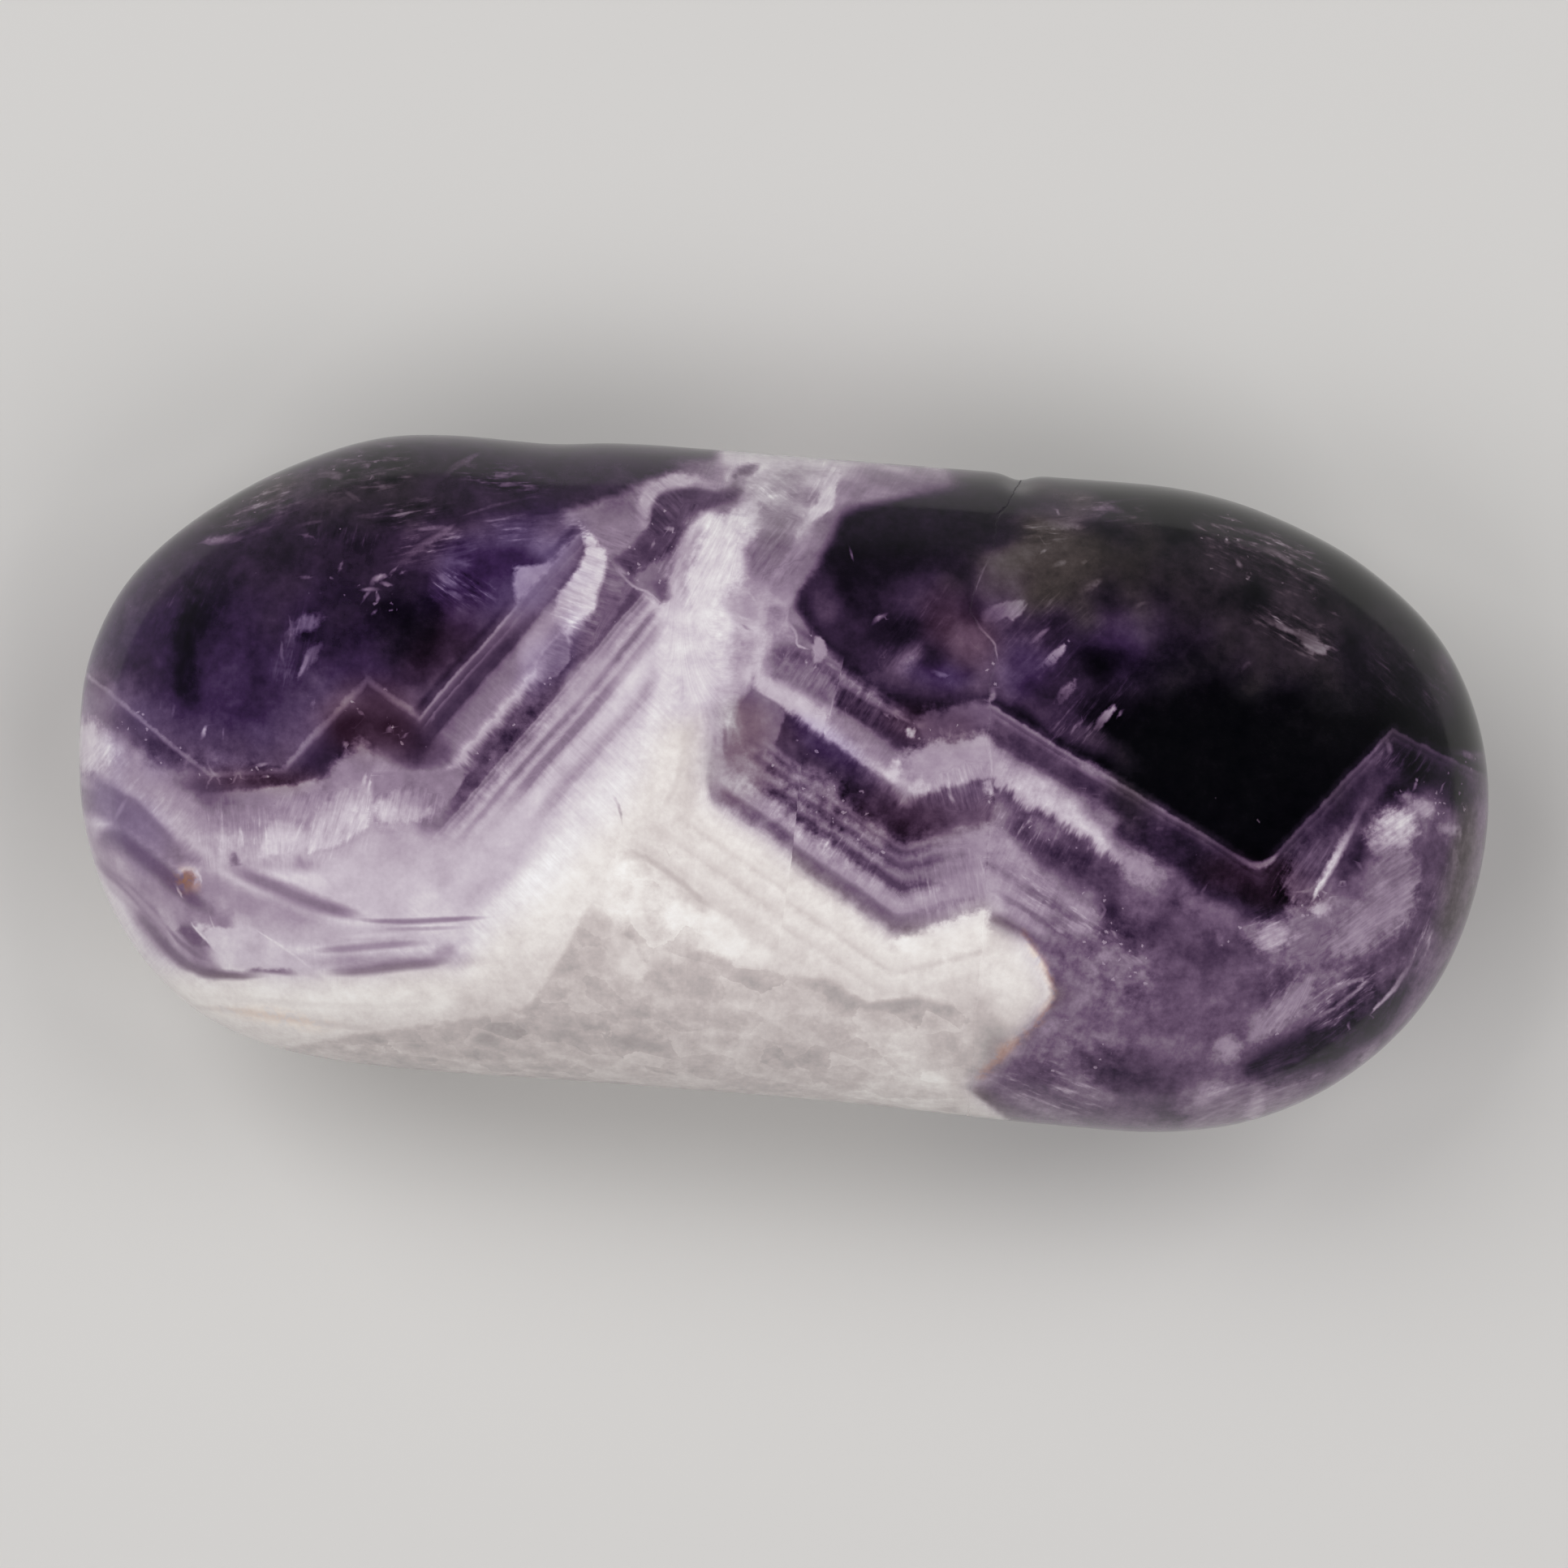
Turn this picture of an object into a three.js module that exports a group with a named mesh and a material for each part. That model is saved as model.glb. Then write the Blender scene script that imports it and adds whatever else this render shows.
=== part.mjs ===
// A polished palm stone of banded amethyst: one solid pebble, ground and tumbled by hand.
// Millimetres, +Z up. The origin is the middle of the underside, on the small flat that it rests on.
// +X runs along its length towards the dark smoky end, and +Y across it to the side with the open crack.
import * as THREE from "three";
import { mergeVertices } from "three/addons/utils/BufferGeometryUtils.js";

// Driving dimensions
const THICKNESS = 24.0;
const FLAT_DEPTH = 0.4; // ground off the underside, so that the pebble doesn't rock
const INSCRIBED_RADIUS = 19.9; // of the largest circle in the outline: the crown rises over this reach
const CROWN_POWER = 2.35; // of the crown's curve in section: 2 is an ellipse, and more is fuller
const CROWN_FALL = 0.2; // share of its height that the crown loses from the middle to the two tips

// The outline seen from above, anticlockwise from the right tip. A smooth closed curve runs through these
// points: two long sides that are nearly straight, and two full ends with slightly flattened shoulders.
const OUTLINE = [
  [43.55, 0.5],
  [42.75, 6.0],
  [40.0, 11.4],
  [35.1, 15.6],
  [29.3, 18.3],
  [24.0, 19.6],
  [15.0, 19.85],
  [0.0, 19.95],
  [-12.0, 19.95],
  [-15.5, 19.6],
  [-22.0, 19.7],
  [-26.4, 19.2],
  [-31.9, 16.95],
  [-37.2, 13.5],
  [-41.2, 9.3],
  [-43.2, 4.5],
  [-43.5, 0.0],
  [-42.75, -6.0],
  [-40.3, -11.6],
  [-36.2, -16.1],
  [-31.0, -18.5],
  [-25.0, -19.35],
  [-10.0, -19.45],
  [5.0, -19.55],
  [18.0, -20.0],
  [25.5, -19.9],
  [31.0, -18.6],
  [36.3, -15.5],
  [40.3, -11.1],
  [42.6, -6.0],
];
const OUTLINE_STEPS = 240;

// Faces of the mesh along the length, over the width and up the thickness
const FACES = [52, 26, 12];
const ON_GIRDLE = 1e-9; // a height on the unit ball under which a point is on the outline itself

const amethyst = new THREE.MeshStandardMaterial({
  name: "amethyst",
  color: new THREE.Color(0.42, 0.34, 0.46),
  roughness: 0.12,
  metalness: 0,
});

// Even points along the closed outline.
function outlinePoints() {
  const through = OUTLINE.map(([x, y]) => new THREE.Vector3(x, y, 0));
  const curve = new THREE.CatmullRomCurve3(through, true, "centripetal");
  return curve.getSpacedPoints(OUTLINE_STEPS).slice(0, -1);
}

// Gives the outline's distance from the middle, in the direction of x, y.
function outlineReach(points) {
  const turn = 2 * Math.PI;
  const angleOf = (x, y) => (Math.atan2(y, x) + turn) % turn;
  const rays = points
    .map((p) => ({ angle: angleOf(p.x, p.y), reach: p.length() }))
    .sort((a, b) => a.angle - b.angle);
  const [first, last] = [rays[0], rays[rays.length - 1]];
  rays.unshift({ angle: last.angle - turn, reach: last.reach });
  rays.push({ angle: first.angle + turn, reach: first.reach });
  return (x, y) => {
    const angle = angleOf(x, y);
    const next = rays.findIndex((ray) => ray.angle > angle);
    const [a, b] = [rays[next - 1], rays[next]];
    return THREE.MathUtils.mapLinear(angle, a.angle, b.angle, a.reach, b.reach);
  };
}

// Gives the distance of x, y from the nearest stretch of the outline.
function outlineDistance(points) {
  const stretches = points.map((p, i) => new THREE.Line3(p, points[(i + 1) % points.length]));
  const nearest = new THREE.Vector3();
  return (x, y) => {
    const p = new THREE.Vector3(x, y, 0);
    const gaps = stretches.map((line) => line.closestPointToPoint(p, true, nearest).distanceTo(p));
    return Math.min(...gaps);
  };
}

// Rounds a point of a cube that reaches from -1 to 1 onto the unit ball, with even faces.
function cubeToBall({ x, y, z }) {
  const pull = (u, v) => Math.sqrt(1 - u ** 2 / 2 - v ** 2 / 2 + (u * v) ** 2 / 3);
  return new THREE.Vector3(x * pull(y, z), y * pull(z, x), z * pull(x, y));
}

// Height of the crown over the girdle, as a share of its middle, at a distance inside the outline.
function crownRise(x, inside, tipX) {
  const outwards = 1 - Math.min(1, inside / INSCRIBED_RADIUS);
  const section = (1 - outwards ** CROWN_POWER) ** (1 / CROWN_POWER);
  return section * (1 - CROWN_FALL * (x / tipX) ** 2);
}

// The pebble: a ball spread out to the outline, crowned above and below, and ground flat underneath.
function pebbleGeometry() {
  const cube = new THREE.BoxGeometry(2, 2, 2, ...FACES);
  cube.deleteAttribute("normal");
  cube.deleteAttribute("uv");
  const geometry = mergeVertices(cube);
  const position = geometry.getAttribute("position");
  const points = outlinePoints();
  const reachTowards = outlineReach(points);
  const distanceInside = outlineDistance(points);
  const plan = new THREE.Box3().setFromPoints(points);
  const size = plan.getSize(new THREE.Vector3());
  const halfHeight = (THICKNESS + FLAT_DEPTH) / 2;
  const girdle = halfHeight - FLAT_DEPTH;
  const corner = new THREE.Vector3();
  for (let i = 0; i < position.count; i += 1) {
    const ball = cubeToBall(corner.fromBufferAttribute(position, i));
    const spot = new THREE.Vector2(ball.x * size.x, ball.y * size.y);
    const outwards = Math.min(1, Math.hypot(ball.x, ball.y)) ** (2 / CROWN_POWER);
    spot.setLength(outwards * reachTowards(spot.x, spot.y));
    const inside = Math.abs(ball.z) > ON_GIRDLE ? distanceInside(spot.x, spot.y) : 0;
    const height = Math.sign(ball.z) * halfHeight * crownRise(spot.x, inside, plan.max.x);
    position.setXYZ(i, spot.x, spot.y, Math.max(0, girdle + height));
  }
  geometry.computeBoundingBox();
  const middle = geometry.boundingBox.getCenter(new THREE.Vector3());
  geometry.translate(-middle.x, -middle.y, 0);
  geometry.computeVertexNormals();
  return geometry;
}

const stone = new THREE.Mesh(pebbleGeometry(), amethyst);
stone.name = "palm_stone";

const palmStone = new THREE.Group();
palmStone.add(stone);

export default palmStone;
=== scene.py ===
# Dresses the palm stone: a pebble of banded amethyst, polished all over, lying on a pale studio floor.
# Blender units are metres. The stone's markings are laid out in millimetres, in the stone's own frame.
import math

import bmesh
import bpy
import numpy as np
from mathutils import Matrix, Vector, noise


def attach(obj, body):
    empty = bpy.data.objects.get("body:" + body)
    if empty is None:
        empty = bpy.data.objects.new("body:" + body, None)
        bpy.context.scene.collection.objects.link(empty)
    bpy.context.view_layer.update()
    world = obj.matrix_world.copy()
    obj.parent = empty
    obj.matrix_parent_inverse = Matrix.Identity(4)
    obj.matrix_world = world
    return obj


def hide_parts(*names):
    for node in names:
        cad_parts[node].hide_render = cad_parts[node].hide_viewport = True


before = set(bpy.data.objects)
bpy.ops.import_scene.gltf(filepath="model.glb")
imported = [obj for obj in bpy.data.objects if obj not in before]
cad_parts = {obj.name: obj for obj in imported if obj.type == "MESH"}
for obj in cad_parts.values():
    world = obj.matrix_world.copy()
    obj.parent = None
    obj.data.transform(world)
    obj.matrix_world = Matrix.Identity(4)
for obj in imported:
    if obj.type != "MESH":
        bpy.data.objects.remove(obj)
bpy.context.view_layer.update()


# The pebble. The real one is a single lump of quartz, sawn, ground to a long palm shape on a wheel and
# tumbled to a gloss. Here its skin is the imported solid's own, rounded off between the solid's facets.
STONE = "palm_stone"
MM = 0.001
ROUNDING_LEVELS = 2
FACET_ANGLE = math.radians(40)  # two triangles that meet flatter than this were one facet
NOTCH_PLACE = (13.1, 19.6)  # where the crack comes out at the back edge
NOTCH_REACH = 0.9
NOTCH_DEPTH = 0.4


def rounded_copy(node, name):
    """Copies a node's mesh, joins its triangles into facets and rounds the facets off."""
    work = bmesh.new()
    work.from_mesh(node.data)
    bmesh.ops.remove_doubles(work, verts=work.verts, dist=0.001 * MM)
    bmesh.ops.join_triangles(
        work,
        faces=work.faces,
        angle_face_threshold=FACET_ANGLE,
        angle_shape_threshold=math.pi,
    )
    mesh = bpy.data.meshes.new(name)
    work.to_mesh(mesh)
    work.free()
    piece = bpy.data.objects.new(name, mesh)
    bpy.context.scene.collection.objects.link(piece)
    rounding = piece.modifiers.new("rounding", "SUBSURF")
    rounding.levels = rounding.render_levels = ROUNDING_LEVELS
    shape = piece.evaluated_get(bpy.context.evaluated_depsgraph_get())
    rounded = bpy.data.meshes.new_from_object(shape)
    piece.modifiers.clear()
    piece.data = rounded
    bpy.data.meshes.remove(mesh)
    rounded.name = name
    rounded.shade_smooth()
    return piece


def corner_places(mesh):
    """The places of a mesh's corners, in millimetres, as one row of three for each corner."""
    places = np.empty(len(mesh.vertices) * 3, np.float32)
    mesh.vertices.foreach_get("co", places)
    return places.reshape(-1, 3).astype(float) / MM


stone = rounded_copy(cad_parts[STONE], "pebble")
places = corner_places(stone.data)
notch_gap = np.hypot(places[:, 0] - NOTCH_PLACE[0], places[:, 1] - NOTCH_PLACE[1])
places[:, 1] -= NOTCH_DEPTH * np.exp(-((notch_gap / NOTCH_REACH) ** 2))
stone.data.vertices.foreach_set("co", (places * MM).astype(np.float32).ravel())
stone.data.update()


# The layout of the markings. They run through the stone, so they are drawn on a level section through its
# girdle, where it is widest, and carried up to the crown, drawing in a little. Below it they splay and slant.
GIRDLE = 11.8  # millimetres over the floor
DRAWING_IN = 0.00186  # share of their distance from the middle, for each millimetre up
SPLAY = 0.05  # the same share, for each millimetre down
SLANT = (0.35, -0.8)  # millimetres for each millimetre of the whole way down
WANDER = 0.12  # millimetres that the markings stray by
WANDER_SIZE = 5.0  # from one stray to the next
RIPPLE_SIZE = 2.2  # of the small waves in the edges of regions, patches and streaks
SWELL_SIZE = 6.0  # of the large ones, in patches alone
SEED_STEP = (17.3, -9.1, 5.7)  # moves one noise away from the next
EDGE_RIPPLE = 0.3  # in parts of a region's softness
PATCH_RIPPLE = 0.45  # these three in parts of a patch's half width
PATCH_SWELL = 0.4
PATCH_FADE = (0.25, 1.5)
STREAK_RIPPLE = 0.2  # and these two of a streak's
STREAK_FADE = (0.4, 1.4)


def smooth_step(low, high, value):
    share = np.clip((value - low) / (high - low), 0.0, 1.0)
    return share * share * (3.0 - 2.0 * share)


def noise_over(spots, size, seed):
    """Smooth noise from about -1 to 1 at every spot, with lumps of the given size."""
    shift = Vector([seed * step for step in SEED_STEP])
    return np.array([noise.noise(Vector(spot) / size + shift) for spot in spots])


over_girdle = np.maximum(0.0, places[:, 2] - GIRDLE)
under_girdle = np.maximum(0.0, GIRDLE - places[:, 2])
section = places[:, :2] * (1.0 + DRAWING_IN * over_girdle + SPLAY * under_girdle)[:, None]
section += np.outer(under_girdle**2 / GIRDLE, SLANT)
section[:, 0] += WANDER * noise_over(places, WANDER_SIZE, seed=1)
section[:, 1] += WANDER * noise_over(places, WANDER_SIZE, seed=2)
ripple = noise_over(places, RIPPLE_SIZE, seed=3)
swell = noise_over(places, SWELL_SIZE, seed=4)


def keep_on_stone(name, *columns):
    """Keeps two or three numbers for each corner of the stone, for its material to read."""
    three = [*columns, np.zeros(len(places))][:3]
    layer = stone.data.attributes.new(name, "FLOAT_VECTOR", "POINT")
    layer.data.foreach_set("vector", np.stack(three, 1).astype(np.float32).ravel())


def line_gap(points, spots, overrun=0.0):
    """Distance of every spot from a line through points, plus on its left, and millimetres along it.
    The line may run on past both of its ends by the overrun."""
    best = np.full(len(spots), np.inf)
    side = np.ones(len(spots))
    along = np.zeros(len(spots))
    walked = 0.0
    for number in range(len(points) - 1):
        start = np.array(points[number], float)
        run = np.array(points[number + 1], float) - start
        length = np.hypot(*run)
        lowest = -overrun / length if number == 0 else 0.0
        highest = 1.0 + (overrun / length if number == len(points) - 2 else 0.0)
        share = np.clip((spots - start) @ run / length**2, lowest, highest)
        away = spots - start - np.outer(share, run)
        gap = np.hypot(away[:, 0], away[:, 1])
        nearer = gap < best
        turn = run[0] * away[:, 1] - run[1] * away[:, 0]
        side = np.where(nearer, np.where(turn < 0, -1.0, 1.0), side)
        along = np.where(nearer, walked + share * length, along)
        best = np.where(nearer, gap, best)
        walked += length
    return best * side, along, walked


def inside_of(corners, spots):
    """How far every spot is inside a closed outline, in millimetres, and minus outside."""
    gap = line_gap([*corners, corners[0]], spots)[0]
    crossings = np.zeros(len(spots), bool)
    for (x0, y0), (x1, y1) in zip(corners, [*corners[1:], corners[0]]):
        spans = (y0 > spots[:, 1]) != (y1 > spots[:, 1])
        rise = (y1 - y0) or 1.0
        crossings ^= spans & (spots[:, 0] < x0 + (spots[:, 1] - y0) / rise * (x1 - x0))
    return np.where(crossings, 1.0, -1.0) * np.abs(gap)


def shown(corners, soft):
    """Where a region lies, from 0 to 1, with an edge that fades over its softness to either side."""
    return smooth_step(-soft, soft, inside_of(corners, section) + EDGE_RIPPLE * soft * ripple)


def lay(field, tone, share, cover_field=None):
    """Lays a tone over a field by share. A field with a cover counts only as far as it already covers."""
    if cover_field is None:
        field += (tone - field) * share
    else:
        cover_field += (1.0 - cover_field) * share
        field += (tone - field) * share / np.maximum(cover_field, 1e-6)


def paint_region(field, corners, tone, soft):
    lay(field, tone, shown(corners, soft))


def paint_patches(field, patches, cover_field=None):
    """Lays soft oval patches on a field: x, y, half length, half width, turn, tone and cover."""
    for x, y, long, wide, turn, tone, cover in patches:
        angle = math.radians(turn)
        dx, dy = section[:, 0] - x, section[:, 1] - y
        along = (dx * math.cos(angle) + dy * math.sin(angle)) / long
        across = (dy * math.cos(angle) - dx * math.sin(angle)) / wide
        reach = np.hypot(along, across) + PATCH_RIPPLE * ripple + PATCH_SWELL * swell
        lay(field, tone, cover * (1.0 - smooth_step(*PATCH_FADE, reach)), cover_field)


def paint_streaks(field, streaks, cover_field=None):
    """Lays soft streaks on a field: points, half width at each end, tone and cover."""
    for points, start_width, end_width, tone, cover in streaks:
        gap, along, length = line_gap(points, section)
        width = start_width + (end_width - start_width) * along / length
        reach = np.abs(gap) / width + STREAK_RIPPLE * ripple
        lay(field, tone, cover * (1.0 - smooth_step(*STREAK_FADE, reach)), cover_field)


# How milky the quartz is, from 0 for the darkest violet to 1 for white, before the growth bands go on.
PALE_MILK = 0.85
milk = np.full(len(places), PALE_MILK)
MATRIX = [
    (-10.0, -5.5), (-8.6, -4.9), (-6.4, -6.4), (-4.6, -7.4), (-4.0, -8.6), (-4.4, -10.6), (-2.4, -11.4),
    (1.0, -11.9), (4.0, -12.2), (6.0, -13.6), (9.0, -12.8), (12.0, -13.2), (13.6, -14.4), (12.2, -17.0),
    (12.6, -60.0), (-110.0, -45.0), (-32.0, -19.4), (-26.0, -17.8), (-20.0, -16.6), (-17.0, -15.8),
    (-15.0, -15.3), (-14.4, -15.0), (-13.4, -13.0), (-12.4, -11.0), (-11.5, -9.0), (-10.3, -7.0),
]
LEFT_CRYSTAL = [
    (-90.0, 27.4), (-44.0, 3.8), (-36.4, -1.6), (-31.0, -1.2), (-29.4, -0.2), (-26.0, 4.3), (-22.6, 2.3),
    (-14.1, 13.7), (-14.6, 15.2), (-12.6, 16.0), (-11.0, 16.8), (-10.4, 17.4), (-9.4, 17.9), (-8.2, 18.2),
    (-7.0, 18.1), (-6.3, 18.6), (-5.6, 19.4), (-5.2, 21.0), (-5.0, 60.0), (-90.0, 60.0),
]
MIDDLE_CRYSTAL = [
    (8.6, 19.2), (6.6, 18.5), (4.4, 17.6), (2.2, 16.8), (1.3, 15.6), (0.9, 13.6), (0.0, 11.8), (-0.2, 10.6),
    (0.9, 9.1), (3.0, 6.7), (7.9, 3.9), (12.6, 5.0), (18.0, 5.0), (18.0, 60.0), (13.0, 60.0),
]
RIGHT_CRYSTAL = [
    (10.0, 60.0), (10.0, 6.4), (12.4, 5.8), (15.8, 3.9), (29.4, -3.0), (30.2, -2.8), (37.2, 5.8),
    (40.6, 4.8), (90.0, 5.0), (90.0, 60.0),
]
RIGHT_MANTLE = [
    (12.9, -6.9), (14.2, -7.5), (15.5, -8.5), (16.8, -10.0), (17.6, -11.9), (17.2, -13.0), (16.3, -14.1),
    (15.2, -15.3), (12.5, -18.0), (15.6, -19.9), (16.0, -60.0), (90.0, -60.0), (90.0, 5.0), (40.6, 4.8),
    (37.2, 5.8), (30.2, -2.8), (15.8, 3.9), (12.4, 5.8),
]
FLECKED_HOLLOW = [
    (-9.7, 15.2), (-9.1, 17.1), (-7.2, 17.6), (-5.4, 17.6), (-4.3, 18.4), (-3.5, 18.2), (-4.2, 17.0),
    (-6.0, 16.3), (-7.2, 15.7), (-8.0, 14.7), (-7.5, 13.6), (-8.0, 12.4), (-7.8, 10.8), (-9.2, 11.2),
    (-10.4, 11.4), (-11.4, 12.6), (-10.8, 13.6), (-10.0, 14.4),
]
PALE_CORNER = [(-14.4, 15.4), (-12.4, 16.1), (-10.0, 17.6), (-9.9, 14.4), (-11.5, 12.8), (-13.6, 14.2)]
paint_region(milk, MATRIX, 0.76, soft=0.25)
paint_region(milk, RIGHT_MANTLE, 0.37, soft=0.2)
paint_region(milk, LEFT_CRYSTAL, 0.17, soft=0.5)
paint_region(milk, RIGHT_CRYSTAL, 0.04, soft=0.3)
paint_region(milk, MIDDLE_CRYSTAL, 0.12, soft=0.7)
paint_region(milk, PALE_CORNER, 0.42, soft=0.4)
paint_region(milk, FLECKED_HOLLOW, 0.27, soft=0.35)
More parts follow.
